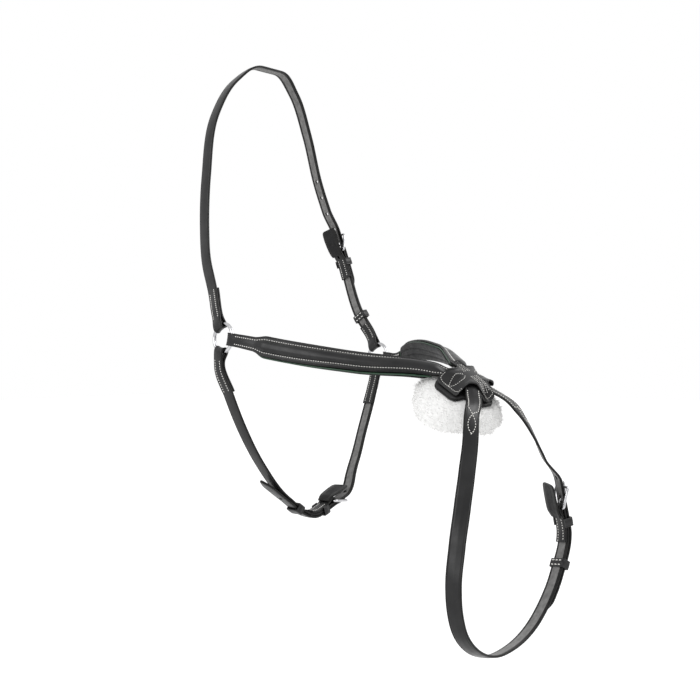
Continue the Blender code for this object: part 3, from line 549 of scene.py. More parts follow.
class Strap:
    """A strap along a line, from its turned first end to its last end, turned or free.

    buckled is the strap whose buckle it passes through, crossing the distance at which it crosses
    another strap, and loose how far its free end stands off.
    """

    def __init__(self, line, first, last, buckled=None, crossing=None, loose=0.0):
        self.line = line
        self.first = first
        self.last = last
        self.heading = 1 if last.at > first.at else -1
        self.buckled = buckled
        self.crossing = crossing
        self.loose = loose

    def lift(self, at):
        """How far the strap's mid layer lies outside the line."""
        gone = abs(at - self.first.at)
        if self.buckled is None:
            run = abs(self.last.at - self.first.at)
            middle = ease((gone / run - 0.25) * 2)
            return mix(self.first.outer_lift(gone), self.last.outer_lift(run - gone), middle)
        past = (at - self.buckled.last.at) * self.heading
        if past >= 0:
            left = abs(self.last.at - at)
            return self.buckled.lift(at) + PAIR + self.loose * max(1 - left / LOOSE_LENGTH, 0) ** 2
        approach = ease(1 + (past + BUCKLE_LENGTH + BAR_FOLD) / BILLET_APPROACH)
        return mix(self.first.outer_lift(gone), BILLET_LIFT, approach)

    def raise_marks(self):
        """Where the raised centre starts, is full, starts to fall and has gone."""
        start = self.first.at + self.heading * RAISE_START
        stop = self.crossing - self.heading * RAISE_STOP
        return [start, start + self.heading * RAISE_RUN, stop - self.heading * RAISE_RUN, stop]

    def raise_at(self, at):
        """The height of the raised centre, on a strap that crosses at the rosette."""
        if self.crossing is None or abs(at - self.first.at) > abs(self.crossing - self.first.at):
            return 0.0
        gone = abs(at - self.first.at) - RAISE_START
        left = abs(at - self.crossing) - RAISE_STOP
        return RAISE_HEIGHT * ease(gone / RAISE_RUN) * ease(left / RAISE_RUN)

    def half_width(self, at):
        width = STRAP_WIDTH
        for end in (self.first, self.last):
            gone = abs(at - end.at)
            if isinstance(end, Turn):
                width = min(width, mix(end.narrow, STRAP_WIDTH, ease(gone / TURN_LENGTH)))
            elif gone < TIP_LENGTH:
                rounded = math.sin(math.radians(90) * gone / TIP_LENGTH)
                width = STRAP_WIDTH * mix(TIP_WIDTH_SHARE, 1, rounded)
        wide = (NOSE_WIDTH - STRAP_WIDTH) * self.raise_at(at) / RAISE_HEIGHT
        return (width + wide) / 2

    def section(self, at, lift, bow=None):
        place, _, across, out = self.line.at(at)
        centre = place + out * lift
        return Slice(centre, across * self.heading, self.half_width(at), bow, self.raise_at(at))

    def inner_lift(self, turn, gone, at):
        """How far the turned-over layer lies outside the line."""
        return mix(-turn.fold, self.lift(at) - PAIR, ease(gone / TURN_SETTLE))

    def turned(self, turn, heading):
        """Slices from the stitched-down end to the wire, round it, and out on the outer side."""
        away, out = (self.line.at(turn.at)[index] for index in (1, 3))
        away = away * heading

        def leg(gone, inner):
            at = turn.at + heading * gone
            lift = self.inner_lift(turn, gone, at) if inner else self.lift(at)
            bow = -away * ease(1 - gone / TURN_SETTLE) if turn.bowed else None
            return self.section(at, lift, bow)

        near = even_steps(TURN_SETTLE, 0, HIDE_STEP)[1:-1]
        slices = [leg(gone, True) for gone in even_steps(turn.length, TURN_SETTLE, HIDE_STEP) + near]
        for step in range(FOLD_STEPS + 1):
            angle = math.pi * step / FOLD_STEPS - math.pi / 2
            bend = self.section(turn.at, 0.0, -away if turn.bowed else None)
            bend.centre += turn.fold * (out * math.sin(angle) - away * math.cos(angle))
            slices.append(bend)
        slices += [leg(gone, False) for gone in reversed(near)]
        return slices

    def slices(self):
        start = self.first.at + self.heading * TURN_SETTLE
        slices = self.turned(self.first, self.heading)
        if isinstance(self.last, Turn):
            end = self.last.at - self.heading * TURN_SETTLE
            tips = []
        else:
            end = self.last.at - self.heading * TIP_LENGTH
            tips = [self.last.at - self.heading * TIP_LENGTH * share for share in TIP_SHARES]
        places = even_steps(start, end, HIDE_STEP)
        slices += [self.section(at, self.lift(at)) for at in places + tips]
        if isinstance(self.last, Turn):
            slices += reversed(self.turned(self.last, -self.heading))
        return slices

    def make(self, name):
        lanes = PLAIN_LANE_SHARES if self.crossing is None else RAISED_LANE_SHARES
        return skin(self.slices(), hide_outline(lanes), name, hide_sides)

    def spot(self, at, side, inner_of=None):
        """A place on the strap's face and the way out of it; inner_of is the turn seen from the horse."""
        place, _, across, out = self.line.at(at)
        across = across * self.heading
        half = self.half_width(at)
        if inner_of is None:
            height = (self.lift(at) + STRAP_THICKNESS / 2 - STRAP_CROWN * abs(side) / half
                      + raise_share_at(side / half) * self.raise_at(at))
            return place + across * side + out * height, out
        lift = self.inner_lift(inner_of, abs(at - inner_of.at), at)
        height = lift - STRAP_THICKNESS / 2 + STRAP_CROWN * abs(side) / half
        return place + across * side + out * height, -out

    def row(self, start, end, side_at, inner_of=None):
        """Points of a stitch row between two distances, its side given at each share of the way."""
        places = even_steps(start, end, ROW_SAMPLE)
        last = max(len(places) - 1, 1)
        return [self.spot(at, side_at(index / last), inner_of) for index, at in enumerate(places)]

    def turn_rows(self, turn, heading, start=ROW_FROM_RING):
        """The two rows that sew a turned end down, on the strap's outer face and on the turned layer."""
        rows = []
        for side_share in (-ROW_SHARE, ROW_SHARE):
            def side_at(share):
                return side_share * TURN_WIDTH / 2
            begin = turn.at + heading * start
            end = turn.at + heading * (turn.length - STITCH_PITCH / 2)
            rows.append(self.row(begin, end, side_at))
            rows.append(self.row(begin, end, side_at, inner_of=turn))
        return rows


def sew(rows, name, body, pitch=STITCH_PITCH, radius=STITCH_RADIUS):
    """White stitches along rows of (place, way out), each a short bent bead of thread sunk at its ends."""
    verts = []
    faces = []
    wander = random.Random(len(rows) + len(name))
    for row in rows:
        walked = pitch / 2
        for (place, out), following in zip(row, row[1:]):
            step = following[0] - place
            length = step.length
            while walked <= length and length > 0:
                along = step / length
                up = (out - along * out.dot(along)).normalized()
                along = Matrix.Rotation(wander.uniform(-0.12, 0.12), 3, up) @ along
                across = up.cross(along)
                middle = place.lerp(following[0], walked / length)
                first = len(verts)
                for way_share, rise_share, radius_share in STITCH_SHARES:
                    ring_at = (middle + along * (pitch * STITCH_SHARE / 2 * way_share)
                               + up * radius * rise_share)
                    verts += round_section(ring_at, across, up, radius * radius_share, STITCH_SIDES)
                last = len(STITCH_SHARES) - 1
                for ring in range(last):
                    for side in range(STITCH_SIDES):
                        after = (side + 1) % STITCH_SIDES
                        here = first + ring * STITCH_SIDES
                        faces.append((here + side, here + after, here + STITCH_SIDES + after,
                                      here + STITCH_SIDES + side))
                faces.append(tuple(first + side for side in range(STITCH_SIDES)))
                faces.append(tuple(first + last * STITCH_SIDES + side for side in range(STITCH_SIDES)))
                walked += pitch
            walked -= length
    return fit(piece(name, verts, faces, [thread]), body, "bridle_leather")


def ring_stations(centre, side, degrees):
    """The start of a strap at a ring, turned up from straight forward by some degrees."""
    away = forward * math.cos(math.radians(degrees)) + upward * math.sin(math.radians(degrees))
    wire_at = centre + away * RING_RADIUS
    return [(wire_at, axle * side, away), (wire_at + away * RING_LEAD, axle * side, None)]


def backwards(stations):
    """The same stations for a line that runs the other way."""
    return [(place, facing, -heading if heading else None)
            for place, facing, heading in reversed(stations)]


def straighten(stations, index):
    """Makes the line run straight from one station to the next."""
    heading = stations[index + 1][0] - stations[index][0]
    for straight in (index, index + 1):
        stations[straight] = (stations[straight][0], stations[straight][1], heading)


def head_line():
    """From the off ring over the poll to the near ring."""
    level = Vector((1, 0, 0))
    seat = Vector((0, 0, STRAP_THICKNESS / 2 - PAIR / 2))
    sides = []
    for ring_at, side, cheek_shares in ((off_ring, -1, OFF_CHEEK_SHARES), (near_ring, 1, NEAR_CHEEK_SHARES)):
        stations = ring_stations(ring_at, side, HEAD_TURN_DEGREES)
        for x, y, z in cheek_shares:
            place = Vector((side * x * RING_HALF_SPREAD, -y * RINGS_FORWARD, z * ring_at.z))
            stations.append((place, Vector((side, 0, (1 - z) ** 3 * 2)), None))
        stations.append((seat + level * side * SEAT_HALF_LENGTH, upward.project(Vector((0, 0, 1))),
                         -level * side))
        sides.append(stations)
    straighten(sides[1], 3)
    return Line(sides[0] + backwards(sides[1]))


head = head_line()
cheek_bar = head.length - CHEEK_BAR_UP
cheek = Strap(head, ring_turn(head.length, CHEEK_TURN_LENGTH), bar_turn(cheek_bar))
near_cheek_strap = cheek.make("near_cheek_strap_leather")


# The headstrap is one long strap of the same leather: sewn round the off ring, over the poll, and
# down the near side as the billet. Its holes are punched round, and its end is cut to a point.
CHEEK_TAIL = 0.048
HOLE_DIAMETER = 0.0042
HOLE_SPACING = 0.0205
TONGUE_HOLE_LENGTH = 0.0085
TONGUE_HOLE_WIDTH = 0.0034
TONGUE_HOLE_SHARE = 0.36
TONGUE_SLOT_WIDTH = 0.0032
HOLE_SEGMENTS = 12


def slot_cutter(length, width, depth, matrix):
    """A round-ended bar for punching, as verts and faces in the frame's space."""
    radius = width / 2
    reach = max(length / 2 - radius, 0)
    outline = []
    for end in (1, -1):
        for step in range(HOLE_SEGMENTS + 1):
            angle = math.radians(180) * step / HOLE_SEGMENTS - math.radians(90)
            outline.append(Vector((end * (reach + radius * math.cos(angle)), end * radius * math.sin(angle))))
    rings = [[matrix @ Vector((point.x, point.y, height)) for point in outline]
             for height in (-depth / 2, depth / 2)]
    return tube(rings, False)


def punch_out(item, cutters):
    """Cuts all the given bars out of a piece at once and keeps the cut mesh."""
    verts = []
    faces = []
    for cutter_verts, cutter_faces in cutters:
        faces += [tuple(len(verts) + index for index in face) for face in cutter_faces]
        verts += cutter_verts
    cutter = piece(item.name + "_cutter", verts, faces, [edge])
    bpy.context.view_layer.update()
    boolean = item.modifiers.new("Punch", "BOOLEAN")
    boolean.operation = "DIFFERENCE"
    boolean.solver = "EXACT"
    boolean.object = cutter
    evaluated = item.evaluated_get(bpy.context.evaluated_depsgraph_get())
    cut = bpy.data.meshes.new_from_object(evaluated)
    item.modifiers.remove(boolean)
    item.data = cut
    cut.name = item.name
    bpy.data.objects.remove(cutter)
    return item


def billet_holes(strap, before, after):
    """A billet's holes before and after the drawn-out one that the tongue is through."""
    cutters = []
    for number in range(-before, after + 1):
        reach = number * HOLE_SPACING - BUCKLE_LENGTH * TONGUE_HOLE_SHARE
        at = strap.buckled.last.at + strap.heading * reach
        length = HOLE_DIAMETER if number else TONGUE_HOLE_LENGTH
        width = HOLE_DIAMETER if number else TONGUE_HOLE_WIDTH
        matrix = strap.line.frame(at, strap.lift(at))
        cutters.append(slot_cutter(length, width, STRAP_THICKNESS * 1.6, matrix))
    return cutters


def buckle_seat(strap):
    """The matrix at a buckle's bar, X towards the far end of its frame and Z outwards."""
    seat = strap.line.frame(strap.last.at, 0.0)
    if strap.heading < 0:
        seat = seat @ Matrix.Rotation(math.pi, 4, "Z")
    return seat


def tongue_slot(strap):
    length = (BAR_FOLD + STRAP_THICKNESS) * 3
    return [slot_cutter(length, TONGUE_SLOT_WIDTH, BAR_FOLD * 3, buckle_seat(strap))]


headstrap = Strap(head, ring_turn(0.0), Tail(cheek_bar + CHEEK_TAIL), cheek)
headstrap_leather = headstrap.make("headstrap_leather")
punch_out(headstrap_leather, billet_holes(headstrap, 4, 2))
fit(headstrap_leather, "headpiece", "bridle_leather", "headstrap")
punch_out(near_cheek_strap, tongue_slot(cheek))
fit(near_cheek_strap, "headpiece", "bridle_leather", "near_cheek_strap")
head_rows = headstrap.turn_rows(headstrap.first, 1)
head_rows += cheek.turn_rows(cheek.first, -1) + cheek.turn_rows(cheek.last, 1, ROW_FROM_BAR)
sew(head_rows, "headpiece_stitching", "headpiece")


# Each buckle is a cast frame with round bars and a tongue of bent wire, both of polished steel. The
# frame's inner bar lies in the strap's turned end, with the tongue's eye round it.
BUCKLE_INNER_WIDTH = 0.0172
BUCKLE_CORNER = 0.0028
TONGUE_RADIUS = 0.0009
FAR_BAR_LIFT = BILLET_LIFT + STRAP_THICKNESS / 2 + SEAT_GAP + BAR_RADIUS
BUCKLE_TILT = math.asin(FAR_BAR_LIFT / BUCKLE_LENGTH)
# Where a tongue bends, as shares of the way to the far bar and of its rise over it
TONGUE_SHARES = ((0.17, 0), (0.27, 0.08), (0.34, 0.3), (0.44, 0.68), (0.54, 0.86), (0.75, 0.97), (1, 1),
                 (1.13, 0.98))
TONGUE_TIP_SHARE = 0.45
TONGUE_POINT_SHARE = 0.06
BAR_SEGMENTS = 16


def rounded_box(half_x, half_y, corner, steps):
    points = []
    for quarter, (side_x, side_y) in enumerate(((1, 1), (-1, 1), (-1, -1), (1, -1))):
        centre = Vector((side_x * (half_x - corner), side_y * (half_y - corner)))
        for step in range(steps + 1):
            angle = math.radians(90) * (quarter + step / steps)
            points.append(centre + corner * Vector((math.cos(angle), math.sin(angle))))
    return points


def smooth_path(points, parts):
    """More points along a bent wire, so that its bends are round."""
    path = []
    for index in range(len(points) - 1):
        before = points[max(index - 1, 0)]
        start, end = points[index], points[index + 1]
        after = points[min(index + 2, len(points) - 1)]
        for step in range(parts):
            path.append(hermite(start, (end - before) / 2, end, (after - start) / 2, step / parts))
    return path + [points[-1]]


def bar_rings(path, radius_at, side, closed=False):
    """Rings of points round a wire that lies in the plane square to side."""
    rings = []
    count = len(path)
    for index, place in enumerate(path):
        before = path[index - 1] if closed or index else place
        after = path[(index + 1) % count] if closed or index < count - 1 else place
        along = (after - before).normalized()
        out = side.cross(along).normalized()
        rings.append(round_section(place, side, out, radius_at(index / (count - 1)), BAR_SEGMENTS))
    return rings


def buckle(name, strap):
    """A buckle's frame and its tongue, each on its own body."""
    seat = buckle_seat(strap)
    half_length = BUCKLE_LENGTH / 2
    half_width = BUCKLE_INNER_WIDTH / 2 + BAR_RADIUS
    tilt = seat @ Matrix.Rotation(-BUCKLE_TILT, 4, "Y")
    flat = rounded_box(half_length, half_width, BUCKLE_CORNER, 8)
    path = [tilt @ Vector((point.x + half_length, point.y, 0)) for point in flat]
    rings = bar_rings(path, lambda share: BAR_RADIUS, (tilt.to_3x3() @ Vector((0, 0, 1))), closed=True)
    verts, faces = tube(rings, True)
    frame_name = name + "_buckle_frame"
    fit(piece(frame_name + "_steel", verts, faces, [steel]), name + "_buckle", "polished_steel", frame_name)
    eye = BAR_RADIUS + SEAT_GAP + TONGUE_RADIUS
    over = FAR_BAR_LIFT + BAR_RADIUS + SEAT_GAP + TONGUE_RADIUS
    points = []
    for degrees in even_steps(330, 90, 20):
        angle = math.radians(degrees)
        points.append(Vector((eye * math.cos(angle), 0, eye * math.sin(angle))))
    for reach_share, rise_share in TONGUE_SHARES:
        points.append(Vector((BUCKLE_LENGTH * reach_share, 0, mix(eye, over, rise_share))))
    path = [seat @ point for point in smooth_path(points, 4)]

    def radius_at(share):
        return TONGUE_RADIUS * mix(TONGUE_TIP_SHARE, 1, ease((1 - share) / TONGUE_POINT_SHARE))

    rings = bar_rings(path, radius_at, seat.to_3x3() @ Vector((0, 1, 0)))
    verts, faces = tube(rings, False)
    tongue_name = name + "_buckle_tongue"
    fit(piece(tongue_name + "_steel", verts, faces, [steel]), name + "_tongue", "polished_steel", tongue_name)


buckle("cheek", cheek)


# Behind each buckle lies a shield of softer, thinner leather, so that the metal doesn't rub the
# horse. Its narrow tail is sewn in under the turned end, and its broad end reaches past the frame.
GUARD_WIDTH = 0.0235
GUARD_THICKNESS = 0.002
GUARD_REACH = 0.0255
GUARD_TAIL = 0.0085
# A guard's width as a share of the widest, along its length from the sewn tail to the broad end
GUARD_SHARES = ((0, 0.62), (0.1, 0.72), (0.25, 0.84), (0.45, 0.94), (0.7, 1), (0.88, 0.98),
                (0.95, 0.92), (0.985, 0.8), (1, 0.68))
GUARD_STEPS = 40
CHEEK_GUARD_SHIFT = 0.0035
SOFT_DARK = (0.004, 0.004, 0.0045, 1.0)
SOFT_LIGHT = (0.01, 0.01, 0.0105, 1.0)


def soft_leather(name, roughness):
    """Matt, supple leather with a fine pebbled grain."""
    made, tree, shader = material(name, SOFT_LIGHT, roughness)
    spread_colour(tree, speckle(tree, 90.0, 4.0), SOFT_DARK, SOFT_LIGHT, shader)
    spread_value(tree, speckle(tree, 200.0), roughness - 0.08, roughness + 0.08, shader.inputs["Roughness"])
    shader.inputs["Specular IOR Level"].default_value = 0.2
    pebbles = speckle(tree, 900.0, kind="ShaderNodeTexVoronoi")
    relief(tree, shader, [(pebbles, 0.35, 0.00018), (speckle(tree, 260.0, 4.0), 0.2, 0.0003)])
    return made


guard_leather = soft_leather("guard_leather", 0.58)


def share_along(table, share):
    """The value at a share, between the rows of a table of (share, value)."""
    for (before, low), (after, high) in zip(table, table[1:]):
        if share <= after:
            return mix(low, high, (share - before) / (after - before))
    return table[-1][1]


def guard(name, strap, body, shift=0.0):
    slices = []
    for step in range(GUARD_STEPS + 1):
        share = 1 - (1 - step / GUARD_STEPS) ** 1.5
        gone = mix(-GUARD_TAIL, GUARD_REACH, share) + shift
        back = max(-gone, 0)
        above = mix(-strap.last.fold, strap.lift(strap.last.at - strap.heading * back) - PAIR,
                    ease(back / TURN_SETTLE))
        lift = above - STRAP_THICKNESS / 2 - LAYER_GAP - GUARD_THICKNESS / 2
        place, _, across, out = strap.line.at(strap.last.at + strap.heading * gone)
        half_width = GUARD_WIDTH / 2 * share_along(GUARD_SHARES, share)
        slices.append(Slice(place + out * lift, across * strap.heading, half_width))
    made = skin(slices, hide_outline(PLAIN_LANE_SHARES, GUARD_THICKNESS), name + "_leather",
                [guard_leather, guard_leather, edge])
    return fit(made, body, "bridle_leather", name)


guard("cheek_buckle_guard", cheek, "headpiece", CHEEK_GUARD_SHIFT)


# The keepers are 8.5 mm bands of leather. The fixed one is sewn into the strap's edges behind the
# buckle, and the running one is a closed loop, sewn on the horse's side with two short white rows.
KEEPER_THICKNESS = 0.0015
KEEPER_LENGTH = 0.0085
KEEPER_SIDE_GAP = 0.0004
KEEPER_RUN_GAP = 0.0007
FIXED_KEEPER_BACK = 0.0145
CHEEK_KEEPER_BACK = 0.086
KEEPER_ROUND = 0.0005
KEEPER_BEND = 0.0006
KEEPER_STEP = 0.0015
KEEPER_CREASE_SHARE = 0.66
KEEPER_CREASE_HALF_WIDTH = 0.0004
KEEPER_ROW_SHARE = 0.52
KEEPER_PITCH = 0.0046
KEEPER_THREAD = 0.00052


def keeper_matrix(line, at):
    """Lays a band across the line, its X across, its Y out and its Z along."""
    place, along, across, out = line.at(at)
    matrix = Matrix((across, out, -along)).transposed().to_4x4()
    matrix.translation = place
    return matrix


def band_ring(inner, outward, matrix):
    """One ring round a keeper's band, from its inner face and the way out, with its edges rounded."""
    half = KEEPER_LENGTH / 2
    right = []
    for height_way in (1, -1):
        for step in range(3):
            angle = math.radians(45) * step
            if height_way < 0:
                angle = math.radians(90) - angle
            rise = KEEPER_THICKNESS / 2 + height_way * (KEEPER_THICKNESS / 2 - KEEPER_ROUND
                                                        + KEEPER_ROUND * math.cos(angle))
            right.append((half - KEEPER_ROUND + KEEPER_ROUND * math.sin(angle), rise))
    left = [(-side, rise) for side, rise in reversed(right)]
    crease = half * KEEPER_CREASE_SHARE
    beside = KEEPER_CREASE_HALF_WIDTH
    top = [(side, KEEPER_THICKNESS - CREASE_DEPTH * dip) for side, dip in
           ((-crease - beside, 0), (-crease, 1), (beside - crease, 0), (0, -0.3),
            (crease - beside, 0), (crease, 1), (crease + beside, 0))]
    outline = right + left + top
    return [matrix @ Vector((inner.x + outward.x * rise, inner.y + outward.y * rise, side))
            for side, rise in outline]


def band(path, closed, matrix):
    """A keeper's band along its inner outline in the matrix's XY plane."""
    rings = []
    count = len(path)
    for index, place in enumerate(path):
        before = path[index - 1] if closed or index else place
        after = path[(index + 1) % count] if closed or index < count - 1 else place
        along = (after - before).normalized()
        rings.append(band_ring(place, Vector((along.y, -along.x)), matrix))
    return tube(rings, closed)


def split_path(points, size, closed):
    """Cuts the straight stretches of an outline into short steps."""
    path = []
    pairs = zip(points, points[1:] + points[:1]) if closed else zip(points, points[1:])
    for start, end in pairs:
        count = max(1, round((end - start).length / size))
        path += [start.lerp(end, step / count) for step in range(count)]
    return path if closed else path + [points[-1]]


def fixed_keeper(name, strap, body):
    at = strap.last.at - strap.heading * FIXED_KEEPER_BACK
    inner = STRAP_WIDTH / 2 + KEEPER_SIDE_GAP
    top = strap.lift(at) + PAIR + STRAP_THICKNESS / 2 + KEEPER_SIDE_GAP
    foot = strap.lift(at) - PAIR - STRAP_THICKNESS / 2
    points = [Vector((inner, foot)), Vector((inner, top - KEEPER_BEND)),
              Vector((inner - KEEPER_BEND * 0.3, top - KEEPER_BEND * 0.3)),
              Vector((inner - KEEPER_BEND, top))]
    points += [Vector((-point.x, point.y)) for point in reversed(points)]
    verts, faces = band(split_path(points, KEEPER_STEP, False), False, keeper_matrix(strap.line, at))
    return fit(piece(name + "_leather", verts, faces, [grain]), body, "bridle_leather", name)


def running_keeper(name, strap, back, body):
    at = strap.last.at - strap.heading * back
    half_x = STRAP_WIDTH / 2 + KEEPER_SIDE_GAP
    half_y = PAIR / 2 + STRAP_THICKNESS / 2 + KEEPER_RUN_GAP
    matrix = keeper_matrix(strap.line, at)
    matrix.translation += matrix.col[1].to_3d() * (strap.lift(at) + PAIR / 2)
    points = rounded_box(half_x, half_y, KEEPER_THICKNESS / 3, 3)
    verts, faces = band(split_path(points, KEEPER_STEP, True), True, matrix)
    fit(piece(name + "_leather", verts, faces, [grain]), body, "bridle_leather", name)
    rows = []
    outward = -matrix.col[1].to_3d()
    for side in (-KEEPER_ROW_SHARE, KEEPER_ROW_SHARE):
        row = []
        for x in even_steps(-half_x * 0.86, half_x * 0.86, ROW_SAMPLE):
            point = Vector((x, -half_y - KEEPER_THICKNESS, side * KEEPER_LENGTH / 2))
            row.append((matrix @ point, outward))
        rows.append(row)
    return sew(rows, name + "_stitching", body, KEEPER_PITCH, KEEPER_THREAD)


fixed_keeper("cheek_fixed_keeper", cheek, "headpiece")
running_keeper("cheek_running_keeper", cheek, CHEEK_KEEPER_BACK, "cheek_keeper")


# The jaw strap is in two halves of the same 15 mm leather: the off half carries the buckle and
# the near half is its punched billet. Both are sewn round the rings.
JAW_DROP = 0.176
JAW_FORWARD = 0.0203
JAW_TURN_DEGREES = -98
JAW_BAR_REACH = 0.0222
JAW_TAIL = 0.105
JAW_KEEPER_BACK = 0.051
JAW_LOOSE_LIFT = 0.007
# Round the jaw, as shares of the half spread, the jaw's reach forward and its drop below the rings
JAW_SHARES = ((-0.945, 0.14, 0.33), (-0.85, 0.46, 0.51), (-0.667, 0.73, 0.72), (-0.38, 0.88, 0.915),
              (-0.03, 0.95, 1.005), (0.34, 0.75, 0.895), (0.585, 0.31, 0.71), (0.763, -0.04, 0.504),
              (0.9, -0.13, 0.29))


def jaw_line():
    """From the off ring under the jaw to the near ring."""
    stations = ring_stations(off_ring, -1, JAW_TURN_DEGREES)
    for x, y, z in JAW_SHARES:
        place = off_ring.lerp(near_ring, (x + 1) / 2) - Vector((0, y * JAW_FORWARD, z * JAW_DROP))
        stations.append((place, Vector((x, 0, -z ** 3)), None))
    straighten(stations, 6)
    return Line(stations + backwards(ring_stations(near_ring, 1, JAW_TURN_DEGREES)))


jaw = jaw_line()
jaw_bar = jaw.marks[6] + JAW_BAR_REACH
jaw_strap = Strap(jaw, ring_turn(0.0), bar_turn(jaw_bar))
jaw_billet = Strap(jaw, ring_turn(jaw.length), Tail(jaw_bar - JAW_TAIL), jaw_strap, loose=JAW_LOOSE_LIFT)
jaw_strap_leather = punch_out(jaw_strap.make("jaw_buckle_strap_leather"), tongue_slot(jaw_strap))
fit(jaw_strap_leather, "jaw", "bridle_leather", "jaw_buckle_strap")
jaw_billet_leather = punch_out(jaw_billet.make("jaw_billet_leather"), billet_holes(jaw_billet, 1, 4))
fit(jaw_billet_leather, "jaw", "bridle_leather", "jaw_billet")
jaw_rows = jaw_strap.turn_rows(jaw_strap.first, 1) + jaw_billet.turn_rows(jaw_billet.first, -1)
jaw_rows += jaw_strap.turn_rows(jaw_strap.last, -1, ROW_FROM_BAR)
sew(jaw_rows, "jaw_stitching", "jaw")
buckle("jaw", jaw_strap)
guard("jaw_buckle_guard", jaw_strap, "jaw")
fixed_keeper("jaw_fixed_keeper", jaw_strap, "jaw")
running_keeper("jaw_running_keeper", jaw_strap, JAW_KEEPER_BACK, "jaw_keeper")


# The two nose straps start at the rings 13 mm wide, widen to 21 mm with a raised, stitched centre,
# cross under the rosette and run on as plain 15 mm straps that buckle in the lower loop.
ROSETTE_OFFSET = -0.004
ROSETTE_FORWARD = 0.293
ROSETTE_DROP = 0.351
ROSETTE_SLOPE = math.radians(30)
ROSETTE_ROLL = math.radians(6)
CROSS_HALF_ANGLE = math.radians(34)
ROSETTE_ENTRY = 0.033
ROSETTE_EXIT = 0.0315
NOSE_BEND = 0.065
CROSS_HUMP = 0.013
LOWER_DROP = 0.2438
LOWER_FORWARD = 0.051
LOWER_HALF_WIDTH = 0.08
OFF_NOSE_RISE = -0.0025
NEAR_NOSE_RISE = 0.0118
NOSE_BOW = 0.015
NOSE_TURN_DEGREES = -7
NOSE_TURN_LENGTH = 0.0285
LOWER_BAR_BACK = 0.0185
LOWER_TAIL = 0.103
LOWER_KEEPER_BACK = 0.054
# The lower loop, as shares of its half width, its reach forward and its drop below the rosette
NEAR_LOWER_SHARES = ((0.44, 0.61, 0.115), (0.58, 0.69, 0.178), (0.785, 0.79, 0.298), (0.98, 0.86, 0.417),
                     (1.07, 0.925, 0.58))
BOTTOM_SHARES = ((0.885, 0.95, 0.752), (0.61, 0.97, 0.859), (0.31, 0.99, 0.928), (-0.08, 1, 0.97),
                 (-0.41, 1, 0.974), (-0.7, 1, 0.936), (-0.905, 1, 0.869), (-1.0, 1, 0.786),
                 (-1.01, 0.98, 0.703), (-0.92, 0.93, 0.57), (-0.79, 0.87, 0.436), (-0.66, 0.79, 0.328),
                 (-0.52, 0.69, 0.217), (-0.4, 0.57, 0.119))
# Along the nose from a ring, as a share of the way, with the facing there
NOSE_SHARES = ((0.31, (1, -0.35, 0.25)), (0.67, (0.75, -0.4, 0.6)))
RAISE_ROW_SHARE = 0.625
LEAF_START = 0.022
LEAF_EDGE_INSET = 0.0023
LEAF_NECK = 0.0552
LEAF_END = 0.0725
LEAF_HALF_WIDTH = 0.0037


def rosette_frame():
    """The crossing's matrix: X down the nose, Y to the near side and Z out of the nose."""
    down_nose = Vector((0, -math.cos(ROSETTE_SLOPE), -math.sin(ROSETTE_SLOPE)))
    out = Matrix.Rotation(ROSETTE_ROLL, 3, down_nose) @ down_nose.cross(Vector((1, 0, 0)))
    matrix = Matrix((down_nose, out.cross(down_nose), out)).transposed().to_4x4()
    matrix.translation = Vector((ROSETTE_OFFSET, -ROSETTE_FORWARD, -ROSETTE_DROP))
    return matrix


rosette = rosette_frame()


def saddle(side):
    """How far the rosette bends down over the nose at a distance to its side."""
    return -side * side / (2 * NOSE_BEND)


def nose_line():
    """From the off ring through the rosette, round the lower loop, through it again to the near ring."""
    middle = rosette.translation
    down_nose, across_nose, out = (rosette.col[column].to_3d() for column in (0, 1, 2))
    branches = []
    for ring_at, side, rise, hump in ((off_ring, -1, OFF_NOSE_RISE, 0.0),
                                      (near_ring, 1, NEAR_NOSE_RISE, PAIR)):
        heading = (down_nose * math.cos(CROSS_HALF_ANGLE) - across_nose * side * math.sin(CROSS_HALF_ANGLE))
        stations = ring_stations(ring_at, side, NOSE_TURN_DEGREES)

        def passing(reach, height, headed):
            """A station under the rosette, bent down over the nose with it."""
            beside = -reach * side * math.sin(CROSS_HALF_ANGLE)
            place = middle + heading * reach + out * (height + saddle(beside))
            facing = out + across_nose * (beside / NOSE_BEND)
            slope = heading + out * (beside * side * math.sin(CROSS_HALF_ANGLE) / NOSE_BEND)
            return place, facing, slope if headed else None

        entry = passing(-ROSETTE_ENTRY, 0.0, False)
        for share, facing in NOSE_SHARES:
            arch = math.sin(math.pi * share)
            bow = Vector((side * NOSE_BOW * arch, -NOSE_BOW / 2 * arch, rise * arch))
            stations.append((ring_at.lerp(entry[0], share) + bow,
                             Vector((side * facing[0], *facing[1:])), None))
        stations.append(entry)
        for reach, height in ((-CROSS_HUMP, hump), (CROSS_HUMP, hump), (ROSETTE_EXIT, 0)):
            stations.append(passing(reach, height, True))
        branches.append(stations)
    lower = []
    for x, y, z in NEAR_LOWER_SHARES + BOTTOM_SHARES:
        place = middle + Vector((x * LOWER_HALF_WIDTH, -y * LOWER_FORWARD, -z * LOWER_DROP))
        facing = Vector((x, -0.2 - 1.1 * (1 - z) ** 2, 0.7 * (1 - z) ** 3 - 2.2 * max(z - 0.55, 0)))
        lower.append((place, facing, None))
    straighten(lower, 3)
    return Line(branches[0] + lower + backwards(branches[1]))


